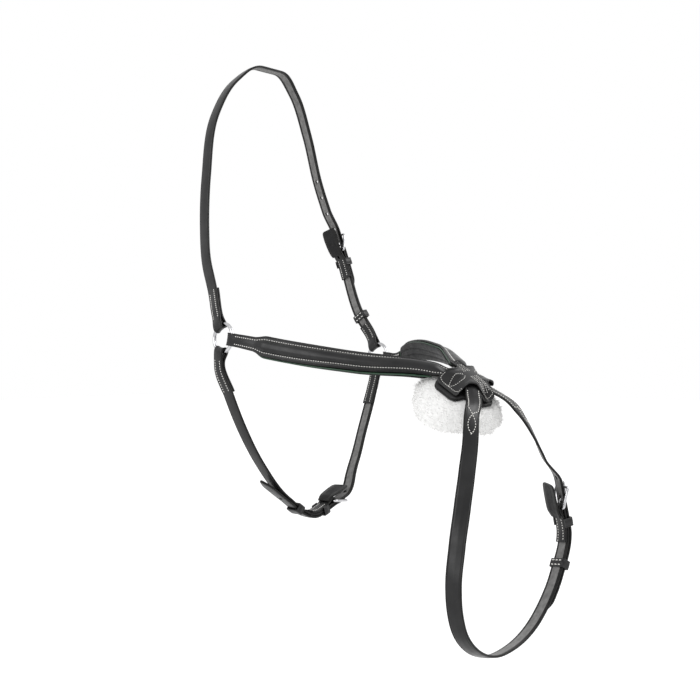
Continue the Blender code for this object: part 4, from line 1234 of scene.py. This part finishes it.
nose = nose_line()
lower_bar = nose.marks[12] - LOWER_BAR_BACK
off_crossing = (nose.marks[5] + nose.marks[6]) / 2
near_crossing = (nose.marks[-6] + nose.marks[-7]) / 2
near_nose = Strap(nose, ring_turn(nose.length, NOSE_TURN_LENGTH), bar_turn(lower_bar), crossing=near_crossing)
off_nose = Strap(nose, ring_turn(0.0, NOSE_TURN_LENGTH), Tail(lower_bar + LOWER_TAIL), near_nose,
                 off_crossing)
near_nose_leather = punch_out(near_nose.make("near_nose_strap_leather"), tongue_slot(near_nose))
fit(near_nose_leather, "nose", "bridle_leather", "near_nose_strap")
off_nose_leather = punch_out(off_nose.make("off_nose_strap_leather"), billet_holes(off_nose, 3, 4))
fit(off_nose_leather, "nose", "bridle_leather", "off_nose_strap")


def leaf_rows(strap):
    """Two edge rows that leave the rosette, cross and close in a pointed leaf, as saddlers sew them."""
    rows = []
    begin, neck, end = (strap.crossing + strap.heading * reach
                        for reach in (LEAF_START, LEAF_NECK, LEAF_END))
    for side in (-1, 1):
        def run_out(share):
            return side * mix(STRAP_WIDTH / 2 - LEAF_EDGE_INSET, 0, ease((share - 0.78) / 0.22))

        def leaf(share):
            return -side * LEAF_HALF_WIDTH * math.sin(math.pi * share) ** 0.8

        rows.append(strap.row(begin, neck, run_out))
        rows.append(strap.row(neck, end, leaf))
    return rows


nose_rows = []
for strap in (off_nose, near_nose):
    start, full, fall, gone = strap.raise_marks()
    ring_end = strap.first.at + strap.heading * ROW_FROM_RING
    for side in (-1, 1):
        def foot_side(share):
            at = mix(ring_end, gone, share)
            wide = strap.raise_at(at) / RAISE_HEIGHT
            return side * strap.half_width(at) * mix(ROW_SHARE, RAISE_ROW_SHARE, wide)

        nose_rows.append(strap.row(ring_end, gone, foot_side))
    nose_rows += strap.turn_rows(strap.first, strap.heading)[1::2]
    nose_rows += leaf_rows(strap)
nose_rows += near_nose.turn_rows(near_nose.last, -near_nose.heading, ROW_FROM_BAR)
sew(nose_rows, "nose_stitching", "nose")
buckle("lower", near_nose)
guard("lower_buckle_guard", near_nose, "nose")
fixed_keeper("lower_fixed_keeper", near_nose, "nose")
running_keeper("lower_running_keeper", near_nose, LOWER_KEEPER_BACK, "lower_keeper")


# Inside each raised centre lies a rope of pressed felt. Under the strap is a soft leather lining
# stuffed with foam, sewn in long channels, with a thin dark green piping all round its seam.
FILLER_WIDTH = 0.0096
FILLER_GAP = 0.0004
FILLER_SIDE_SHARE = 0.12
PADDING_DEPTH = 0.0048
PADDING_TAPER = 0.006
PIPING_DIAMETER = 0.0018
PIPING_SEGMENTS = 10
FELT_DARK = (0.035, 0.035, 0.036, 1.0)
FELT_LIGHT = (0.075, 0.075, 0.076, 1.0)
PIPING_DARK = (0.004, 0.028, 0.011, 1.0)
PIPING_LIGHT = (0.009, 0.05, 0.02, 1.0)
LINING_HANG = 0.0015
PADDING_BULGE = 0.0018
PADDING_ROUND = 0.002
CHANNEL_SHARE = 0.5
CHANNEL_DEPTH = 0.0009
CHANNEL_HALF_WIDTH_SHARE = 0.11
LINING_LANE_SHARES = (0.85, 0.7, 0.6, 0.55, 0.5, 0.45, 0.4, 0.3, 0.15, 0)


def pressed_felt():
    made, tree, shader = material("pressed_felt", FELT_LIGHT, 0.95)
    spread_colour(tree, speckle(tree, 800.0, 6.0), FELT_DARK, FELT_LIGHT, shader)
    shader.inputs["Sheen Weight"].default_value = 0.3
    relief(tree, shader, [(speckle(tree, 1600.0, 5.0), 0.6, 0.0003)])
    return made


def green_piping():
    made, tree, shader = material("green_piping", PIPING_LIGHT, 0.42)
    spread_colour(tree, speckle(tree, 300.0, 4.0), PIPING_DARK, PIPING_LIGHT, shader)
    relief(tree, shader, [(speckle(tree, 1500.0, 3.0), 0.25, 0.0001)])
    return made


felt = pressed_felt()
piping_leather = green_piping()
lining_leather = soft_leather("lining_leather", 0.5)


def filler_outline(section):
    """The rope's section: flat below and round above, inside the hollow of the leather."""
    right = []
    for step in range(9):
        angle = math.radians(90) * step / 8
        height = (RAISE_HEIGHT - FILLER_GAP) * mix(FILLER_SIDE_SHARE, 1, math.cos(angle) ** 0.8)
        right.append((section.half_width * math.sin(angle), height, 0))
    right += [(section.half_width * share, 0.0, 0) for share in (0.96, 0.5, 0)]
    return mirrored(right)


def padding_outline(section):
    """The lining's section: flat above, full below, with two sewn channels along it."""
    right = [(section.half_width * share, 0.0, 0) for share in (0, 0.4, 0.75, 0.97)]
    bulge = PADDING_BULGE * section.lift / PADDING_DEPTH
    for step in range(22):
        turn = math.radians(mix(-60, 90, step / 22))
        side = section.half_width - PADDING_ROUND + (PADDING_ROUND + bulge) * math.cos(turn)
        depth_share = mix(0.6, 1 if turn > 0 else 0.3, abs(math.sin(turn)))
        right.append((side, -section.lift * depth_share, 0))
    for share in LINING_LANE_SHARES:
        pull = math.exp(-((share - CHANNEL_SHARE) / CHANNEL_HALF_WIDTH_SHARE) ** 2)
        depth = section.lift - CHANNEL_DEPTH * pull * section.lift / PADDING_DEPTH
        right.append(((section.half_width - PADDING_ROUND) * share, -depth, 0))
    return mirrored(right)


for side_name, strap in (("off", off_nose), ("near", near_nose)):
    top = STRAP_THICKNESS / 2
    start, full, fall, gone = strap.raise_marks()
    slices = []
    for at in even_steps(full, fall, HIDE_STEP):
        section = strap.section(at, strap.lift(at) - top)
        section.half_width = FILLER_WIDTH / 2
        slices.append(section)
    filler = skin(slices, filler_outline, side_name + "_filler_felt", [felt])
    fit(filler, "nose", "felt", side_name + "_raised_filler")
    slices = []
    edges = []
    for at in even_steps(start, fall, HIDE_STEP):
        section = strap.section(at, strap.lift(at) - top - SEAT_GAP)
        downward = section.across if section.across.z < 0 else -section.across
        from_start = ease(abs(at - start) / RAISE_RUN)
        hang = downward * LINING_HANG * from_start * ease(abs(at - fall) / RAISE_RUN)
        section.centre += hang
        outer = section.half_width
        section.half_width = outer - PIPING_DIAMETER - SEAT_GAP
        from_ends = from_start * ease(abs(at - fall) / PADDING_TAPER)
        section.lift = PADDING_DEPTH * mix(0.4, 1, from_ends)
        slices.append(section)
        place, _, across, out = strap.line.at(at)
        low = place + hang + out * (strap.lift(at) - top - SEAT_GAP - PIPING_DIAMETER / 2)
        edges.append((low, across, outer - PIPING_DIAMETER / 2, out))
    for end, beside in ((0, 1), (-1, -2)):
        slices[end].centre = slices[end].centre.lerp(slices[beside].centre, 0.9)
    padding = skin(slices, padding_outline, side_name + "_nose_padding_leather", [lining_leather])
    fit(padding, "nose", "soft_lining", side_name + "_nose_padding")
    route = [(low - across * reach, out) for low, across, reach, out in edges]
    route += [(low + across * reach, out) for low, across, reach, out in reversed(edges)]
    rings = []
    for index, (place, out) in enumerate(route):
        along = (route[(index + 1) % len(route)][0] - route[index - 1][0]).normalized()
        beside = along.cross(out).normalized()
        rings.append(round_section(place, beside, beside.cross(along), PIPING_DIAMETER / 2, PIPING_SEGMENTS))
    verts, faces = tube(rings, True)
    piping = piece(side_name + "_piping_leather", verts, faces, [piping_leather])
    fit(piping, "nose", "green_piping", side_name + "_piping")


# The rosette's cover is a cross of firm leather, moulded wet over the crossed straps. Its arms are
# sewn to the base, and the four mouths between them arch over the straps.
COVER_ARM = 0.031
MOUTH_ARM_ANGLE = math.radians(23)
MOUTH_SIDE_ANGLE = math.radians(30)
MOUTH_DEPTH = 0.0125
REAR_SHORT = 0.007
SIDE_FLAT_SHARE = 0.9
NEAR_SHORT_SHARE = 0.1
MOUTH_ARCH = 0.0011
FRONT_DROOP = 0.0055
DROOP_START = 0.013
DROOP_RUN = 0.018
DROOP_HALF_WIDTH = 0.0135
DROOP_SIDE_RUN = 0.007
RIM_BEAD = 0.0004
RIM_SHARE = 0.93
COVER_THICKNESS = 0.0016
COVER_GAP = 0.0009
COVER_FALL = 0.009
COVER_SPOKES = 192
COVER_RINGS = 26
RIM_ROUND = 0.0006
RIM_ROW_INSET = 0.0028
ARM_ROW_INNER = 0.0016
ARM_ROW_OUTER = 0.0038
ARM_ROW_STEP = 0.004
LEAF_INNER = 0.0075
ARM_LEAF_HALF_WIDTH = 0.0048
ROSETTE_PITCH = 0.0021
ROSETTE_THREAD = 0.00026


def reach_at(angle, reach, depth, flat_share=1.0):
    """How far a rosette leather reaches: four arms with a hollow of some depth where each strap passes."""
    side_share = flat_share - (NEAR_SHORT_SHARE if math.sin(angle) > 0 else 0)
    rear = max(-math.cos(angle), 0) ** 3
    reach = min(reach, reach * side_share / max(abs(math.sin(angle)), 0.1)) - REAR_SHORT * rear
    for front, side in ((1, -1), (1, 1), (-1, 1), (-1, -1)):
        mouth = Vector((front * math.cos(CROSS_HALF_ANGLE), side * math.sin(CROSS_HALF_ANGLE)))
        turn = mouth.angle_signed(Vector((math.cos(angle), math.sin(angle)))) * front * side
        half = MOUTH_ARM_ANGLE if turn > 0 else MOUTH_SIDE_ANGLE
        if abs(turn) < half:
            reach -= depth * math.cos(math.radians(90) * (turn / half) ** 2) ** 2
    return reach


cover_low = (PAIR - STRAP_THICKNESS) / 2
cover_high = cover_low + PAIR + STRAP_THICKNESS + COVER_GAP


def droop(x, y):
    """How far the leathers of the front arm bend down over the nose."""
    forward_share = ease((x - DROOP_START) / DROOP_RUN)
    return -FRONT_DROOP * forward_share * ease((DROOP_HALF_WIDTH - abs(y)) / DROOP_SIDE_RUN)


def cover_under(x, y):
    """The height of the cover's under side over the crossed straps."""
    beside = min(abs(y * math.cos(turn) - x * math.sin(turn))
                 for turn in (CROSS_HALF_ANGLE, -CROSS_HALF_ANGLE)) - STRAP_WIDTH / 2 - COVER_GAP
    return mix(cover_high, cover_low + SEAT_GAP, ease(beside / COVER_FALL)) + saddle(y) + droop(x, y)


def disc(levels, spokes):
    """Verts and faces over rings of points between two middle points, the first and last level."""
    verts = [levels[0]] + [point for ring in levels[1:-1] for point in ring] + [levels[-1]]
    faces = []
    rings = len(levels) - 2
    for spoke in range(spokes):
        beside = (spoke + 1) % spokes
        faces.append((0, 1 + spoke, 1 + beside))
        for ring in range(rings - 1):
            here = 1 + ring * spokes
            faces.append((here + spoke, here + spokes + spoke, here + spokes + beside, here + beside))
        here = 1 + (rings - 1) * spokes
        faces.append((here + spoke, len(verts) - 1, here + beside))
    return verts, faces


def cover_point(angle, share, inset, rise):
    reach = reach_at(angle, COVER_ARM, MOUTH_DEPTH, SIDE_FLAT_SHARE) - inset
    x, y = reach * share * math.cos(angle), reach * share * math.sin(angle)
    mouth = (COVER_ARM - reach_at(angle, COVER_ARM, MOUTH_DEPTH)) / MOUTH_DEPTH
    arch = MOUTH_ARCH * ease((share - 0.55) / 0.45) * min(max(mouth, 0), 1)
    return rosette @ Vector((x, y, cover_under(x, y) + arch + rise))


angles = [math.tau * spoke / COVER_SPOKES for spoke in range(COVER_SPOKES)]
levels = [cover_point(0, 0, 0, COVER_THICKNESS)]
for step in range(1, COVER_RINGS + 1):
    share = step / COVER_RINGS
    groove = CREASE_DEPTH * math.exp(-((share - RIM_SHARE) / 0.02) ** 2)
    rise = COVER_THICKNESS - groove + RIM_BEAD * ease((share - RIM_SHARE) / 0.05)
    levels.append([cover_point(angle, share, RIM_ROUND, rise) for angle in angles])
for step in range(1, 6):
    bend = math.radians(180) * step / 6
    inset = RIM_ROUND * (1 - math.sin(bend))
    rise = (COVER_THICKNESS + RIM_BEAD) / 2 * (1 + math.cos(bend))
    levels.append([cover_point(angle, 1, inset, rise) for angle in angles])
for step in range(COVER_RINGS // 2, 0, -1):
    share = step / (COVER_RINGS // 2)
    levels.append([cover_point(angle, share, RIM_ROUND, 0.0) for angle in angles])
levels.append(cover_point(0, 0, 0, 0.0))
verts, faces = disc(levels, COVER_SPOKES)
outer_faces = COVER_RINGS + 3
faces_per_spoke = len(levels) - 1
marks = [0 if index % faces_per_spoke < outer_faces else 1 for index in range(len(faces))]
cover = piece("rosette_cover_leather", verts, faces, [grain, edge], marks)
fit(cover, "nose", "bridle_leather", "rosette_cover")


def on_cover(x, y):
    return rosette @ Vector((x, y, cover_under(x, y) + COVER_THICKNESS))


def cover_row(points):
    """A stitch row over the cover from points in its own plane."""
    row = []
    for start, end in zip(points, points[1:]):
        count = max(1, round(math.dist(start, end) / ROW_SAMPLE))
        for step in range(count):
            x, y = (mix(start[axis], end[axis], step / count) for axis in (0, 1))
            here = on_cover(x, y)
            ahead = on_cover(x + ROW_SAMPLE, y) - here
            beside = on_cover(x, y + ROW_SAMPLE) - here
            row.append((here, ahead.cross(beside).normalized()))
    return row


# Each arm has a row along its rim. Within it are two pairs of rows on the front and rear arms, and
# a leaf on each side arm.
cover_rows = []
for arm in (0, 90, 180, 270):
    arm_angle = math.radians(arm)
    sweep = (CROSS_HALF_ANGLE - MOUTH_ARM_ANGLE * 0.75 if arm in (0, 180)
             else math.radians(90) - CROSS_HALF_ANGLE - MOUTH_SIDE_ANGLE * 0.8)
    rim = []
    for step in range(25):
        angle = arm_angle + mix(-sweep, sweep, step / 24)
        reach = reach_at(angle, COVER_ARM, MOUTH_DEPTH, SIDE_FLAT_SHARE) - RIM_ROW_INSET
        rim.append((reach * math.cos(angle), reach * math.sin(angle)))
    cover_rows.append(cover_row(rim))
    along_x, along_y = math.cos(arm_angle), math.sin(arm_angle)
    for side in (-1, 1):
        if arm in (0, 180):
            tip = COVER_ARM - RIM_ROW_INSET * 2 - (REAR_SHORT if arm else 0)
            for beside in (side * ARM_ROW_INNER, side * ARM_ROW_OUTER):
                run = [(reach * along_x - beside * along_y, reach * along_y + beside * along_x)
                       for reach in even_steps(ARM_ROW_STEP, tip, ARM_ROW_STEP)]
                cover_rows.append(cover_row(run))
            continue
        leaf = []
        for step in range(19):
            share = step / 18
            reach = mix(COVER_ARM * SIDE_FLAT_SHARE - RIM_ROW_INSET, LEAF_INNER, share)
            beside = side * ARM_LEAF_HALF_WIDTH * math.sin(math.pi * share ** 1.25) ** 0.8
            leaf.append((reach * along_x - beside * along_y, reach * along_y + beside * along_x))
        cover_rows.append(cover_row(leaf))
sew(cover_rows, "rosette_stitching", "nose", ROSETTE_PITCH, ROSETTE_THREAD)


# The base is three layers of firm leather glued together, with scallops where the straps pass. Its
# cut edge shows the lines between the layers, and the cover's arms are sewn down on it.
BASE_REACH = 0.0315
BASE_SCALLOP = 0.005
BASE_FLAT_SHARE = 0.95
BASE_THICKNESS = 0.004
BASE_LAYERS = 3
LAYER_SEAM = 0.0005
# Down one layer's cut edge, as shares of its thickness and of the seam's depth
LAYER_SHARES = ((0.08, 0.45), (0.25, 0.08), (0.5, 0), (0.75, 0.08), (0.92, 0.45), (1, 1))
base_top = cover_low - SEAT_GAP


def base_point(angle, share, inset, drop):
    reach = reach_at(angle, BASE_REACH, BASE_SCALLOP, BASE_FLAT_SHARE) - inset
    x, y = reach * share * math.cos(angle), reach * share * math.sin(angle)
    return rosette @ Vector((x, y, base_top + saddle(y) + droop(x, y) - drop))


levels = [base_point(0, 0, 0, 0)]
for step in range(1, 15):
    levels.append([base_point(angle, step / 14, LAYER_SEAM, 0) for angle in angles])
for layer in range(BASE_LAYERS):
    for depth_share, inset_share in LAYER_SHARES:
        if layer == BASE_LAYERS - 1 and depth_share == 1:
            continue
        drop = BASE_THICKNESS * (layer + depth_share) / BASE_LAYERS
        levels.append([base_point(angle, 1, LAYER_SEAM * inset_share, drop) for angle in angles])
for step in range(10, 0, -1):
    levels.append([base_point(angle, step / 10, LAYER_SEAM, BASE_THICKNESS) for angle in angles])
levels.append(base_point(0, 0, 0, BASE_THICKNESS))
verts, faces = disc(levels, COVER_SPOKES)
faces_per_spoke = len(levels) - 1
first_edge = 15
marks = []
for index in range(len(faces)):
    layer = (index % faces_per_spoke - first_edge) // len(LAYER_SHARES)
    marks.append(1 if layer == 1 else 0)
base = piece("rosette_base_leather", verts, faces, [grain, edge], marks)
fit(base, "nose", "bridle_leather", "rosette_base")


# Under the base lies a round pad of sheepskin with its wool on, about 88 mm across and domed over
# the nose. The wool is short, dense and white, in small locks.
PAD_RADIUS = 0.044
PAD_FALL = 0.023
PAD_SPOKES = 220
PAD_STEPS = 60
LOCK_SIZE = 0.0036
LOCK_DEPTH = 0.0008
BASE_SHADE = 0.006
TUFT_COUNT = 3600
TUFT_LENGTH = 0.0045
TUFT_RADIUS = 0.00045
TUFT_SHARES = (0, 0.4, 0.75, 1)
WOOL_SHADE = (0.88, 0.876, 0.868, 1.0)
WOOL_LIGHT = (0.93, 0.928, 0.922, 1.0)
# Round the pad's section, from its upper middle over the rim to the middle of its under side, as
# shares of its radius and of its fall
PAD_SHARES = ((0, 0), (0.25, 0), (0.48, 0), (0.66, 0.03), (0.78, 0.13), (0.88, 0.34), (0.95, 0.62),
              (0.985, 0.84), (0.975, 0.97), (0.93, 0.98), (0.86, 0.86), (0.79, 0.62), (0.73, 0.46),
              (0.6, 0.37), (0.44, 0.348), (0.25, 0.348), (0, 0.348))


def sheepskin_wool():
    made, tree, shader = material("sheepskin_wool", WOOL_LIGHT, 0.95)
    spread_colour(tree, speckle(tree, 320.0, 6.0), WOOL_SHADE, WOOL_LIGHT, shader, 0.25, 0.55)
    shader.inputs["Specular IOR Level"].default_value = 0.2
    shader.inputs["Sheen Weight"].default_value = 0.15
    shader.inputs["Sheen Roughness"].default_value = 0.7
    relief(tree, shader, [(speckle(tree, 900.0, 6.0), 0.3, 0.0004),
                          (speckle(tree, 2600.0, 4.0), 0.2, 0.0002)])
    return made


wool = sheepskin_wool()


def pad_shape():
    """Points round the pad's section at even steps, as (reach, height)."""
    points = [Vector((PAD_RADIUS * reach, -PAD_FALL * fall)) for reach, fall in PAD_SHARES]
    lengths = [0.0]
    for before, after in zip(points, points[1:]):
        lengths.append(lengths[-1] + (after - before).length)
    shape = []
    for step in range(1, PAD_STEPS):
        distance = lengths[-1] * step / PAD_STEPS
        index = max(i for i, length in enumerate(lengths[:-1]) if length <= distance)
        share = (distance - lengths[index]) / (lengths[index + 1] - lengths[index])
        before = points[max(index - 1, 0)]
        start, end = points[index], points[index + 1]
        after = points[min(index + 2, len(points) - 1)]
        shape.append(hermite(start, (end - before) / 2, end, (after - start) / 2, share))
    return shape


pad_top = base_top - BASE_THICKNESS - SEAT_GAP


def pad_point(reach, angle, height):
    """A place on the pad, bent over the nose with the base, but flat in the middle underneath."""
    x, y = reach * math.cos(angle), reach * math.sin(angle)
    flat = height < -PAD_FALL * 0.34 and reach < PAD_RADIUS * 0.26
    return Vector((x, y, pad_top + height + (0.0 if flat else saddle(y) + droop(x, y))))


def way_out(before, after):
    """Outwards from the pad's section, between two of its points."""
    way = (after - before).normalized()
    return Vector((-way.y, way.x)).normalized()


def spun(flat, angle):
    """A (reach, height) direction turned about the pad's upright axis."""
    return Vector((flat.x * math.cos(angle), flat.x * math.sin(angle), flat.y))


shape = pad_shape()
pad_angles = [math.tau * spoke / PAD_SPOKES for spoke in range(PAD_SPOKES)]
levels = [rosette @ pad_point(0, 0, 0)]
for index, point in enumerate(shape):
    outward = way_out(shape[max(index - 1, 0)], shape[min(index + 1, len(shape) - 1)])
    past_base = ease((point.x - BASE_REACH * 0.8) / BASE_SHADE)
    ring = []
    for angle in pad_angles:
        place = pad_point(point.x, angle, point.y)
        lock = noise.noise(place / LOCK_SIZE) + 0.5 * noise.noise(place / LOCK_SIZE * 2.3)
        push = outward * LOCK_DEPTH * (lock - 0.35) * past_base
        ring.append(rosette @ (place + spun(push, angle)))
    levels.append(ring)
levels.append(rosette @ pad_point(0, 0, -PAD_FALL * PAD_SHARES[-1][1]))
verts, faces = disc(levels, PAD_SPOKES)
fleece = piece("sheepskin_pad_fleece", verts, faces, [wool])
fit(fleece, "nose", "sheepskin", "sheepskin_pad")

locks = random.Random(8)
verts = []
faces = []
for number in range(TUFT_COUNT):
    step = int(mix(len(shape) * 0.27, len(shape) * 0.62, locks.random() ** 0.8))
    angle = locks.uniform(0, math.tau)
    point = shape[step]
    root = pad_point(point.x, angle, point.y)
    grow = spun(way_out(point, shape[step + 1]), angle)
    lean = Vector((locks.uniform(-1, 1), locks.uniform(-1, 1), locks.uniform(-1, 0.4)))
    side = grow.cross(lean).normalized()
    length = TUFT_LENGTH * locks.uniform(0.55, 1)
    first = len(verts)
    rings = []
    for share in TUFT_SHARES:
        centre = root + grow * (length * (share * 0.75 - 0.25)) + lean * (length * 0.55 * share * share)
        radius = TUFT_RADIUS * (1 - 0.85 * share)
        rings.append([rosette @ point for point in round_section(centre, side, grow.cross(side), radius, 4)])
    tuft_verts, tuft_faces = tube(rings, False)
    verts += tuft_verts
    faces += [tuple(first + index for index in face) for face in tuft_faces]
tufts = piece("sheepskin_tufts", verts, faces, [wool])
fit(tufts, "nose", "sheepskin")


# The stage: a plain white floor below the hanging noseband, soft light from all round with two
# large lamps, and the camera level with the middle of the noseband, 45 degrees to its off side.
FLOOR_DROP = 0.1
FLOOR_SIZE = 12.0
CAMERA_DISTANCE = 1.03
CAMERA_AIM = Vector((0, -0.133, -0.322))
CAMERA_LENS = 50
FLOOR_COLOUR = (0.93, 0.93, 0.93, 1.0)
AROUND = 0.64
GLOW_NEAR = 0.26
GLOW_FAR = 0.6
GLOW_START = 0.2
GLOW_STOP = 2.5
KEY_LAMP_PLACE = Vector((-1.6, -0.1, 0.35))
KEY_LAMP_POWER = 12
NEAR_LAMP_PLACE = Vector((1.0, -1.1, 0.9))
NEAR_LAMP_POWER = 17
LAMP_SIZE = 1.1


def seen_white(tree):
    """1 for the rays of the camera, of a shine and through glass, and 0 for the rest of the light."""
    light_path = tree.nodes.new("ShaderNodeLightPath")
    seen = light_path.outputs["Is Camera Ray"]
    for kind in ("Is Glossy Ray", "Is Transmission Ray"):
        either = tree.nodes.new("ShaderNodeMath")
        either.operation = "MAXIMUM"
        tree.links.new(seen, either.inputs[0])
        tree.links.new(light_path.outputs[kind], either.inputs[1])
        seen = either.outputs["Value"]
    return seen


def stage_material():
    """Pale floor: plain white where the camera or a shine sees it, but it keeps the soft shadow."""
    made, tree, shader = material("pale_floor", FLOOR_COLOUR, 0.9)
    spread_value(tree, speckle(tree, 3.0), 0.86, 0.94, shader.inputs["Roughness"])
    place = tree.nodes.new("ShaderNodeTexCoord")
    away = tree.nodes.new("ShaderNodeVectorMath")
    away.operation = "LENGTH"
    tree.links.new(place.outputs["Object"], away.inputs[0])
    glow = tree.nodes.new("ShaderNodeMapRange")
    glow.inputs["From Min"].default_value = GLOW_START
    glow.inputs["From Max"].default_value = GLOW_STOP
    glow.inputs["To Min"].default_value = GLOW_NEAR
    glow.inputs["To Max"].default_value = GLOW_FAR
    tree.links.new(away.outputs["Value"], glow.inputs["Value"])
    total = tree.nodes.new("ShaderNodeMath")
    total.operation = "MULTIPLY"
    tree.links.new(glow.outputs["Result"], total.inputs[0])
    tree.links.new(seen_white(tree), total.inputs[1])
    shader.inputs["Emission Color"].default_value = (1.0, 1.0, 1.0, 1.0)
    tree.links.new(total.outputs["Value"], shader.inputs["Emission Strength"])
    return made


floor_at = cad_box[0][2] - FLOOR_DROP
bpy.ops.mesh.primitive_plane_add(size=FLOOR_SIZE, location=(0, 0, floor_at))
floor = bpy.context.object
floor.name = "floor"
floor.data.materials.append(stage_material())

world = bpy.data.worlds.new("studio")
bpy.context.scene.world = world
world.use_nodes = True
tree = world.node_tree
background = tree.nodes["Background"]
background.inputs["Color"].default_value = (1.0, 1.0, 1.0, 1.0)
strength = tree.nodes.new("ShaderNodeMapRange")
strength.inputs["To Min"].default_value = AROUND
strength.inputs["To Max"].default_value = 1.0
tree.links.new(seen_white(tree), strength.inputs["Value"])
tree.links.new(strength.outputs["Result"], background.inputs["Strength"])


def lamp(name, place, power):
    light = bpy.data.lights.new(name, "AREA")
    light.size = LAMP_SIZE
    light.energy = power
    item = bpy.data.objects.new(name, light)
    bpy.context.scene.collection.objects.link(item)
    item.location = place
    item.rotation_euler = (CAMERA_AIM - item.location).to_track_quat("-Z", "Y").to_euler()


lamp("key_lamp", KEY_LAMP_PLACE, KEY_LAMP_POWER)
lamp("near_lamp", NEAR_LAMP_PLACE, NEAR_LAMP_POWER)

bpy.context.scene.view_settings.view_transform = "Standard"
camera_data = bpy.data.cameras.new("camera")
camera_data.lens = CAMERA_LENS
camera_data.sensor_width = 36
camera_data.clip_start = 0.01
camera = bpy.data.objects.new("camera", camera_data)
bpy.context.scene.collection.objects.link(camera)
toward = Vector((-1, -1, 0)).normalized()
camera.location = CAMERA_AIM + toward * CAMERA_DISTANCE
camera.rotation_euler = (-toward).to_track_quat("-Z", "Y").to_euler()
bpy.context.scene.camera = camera
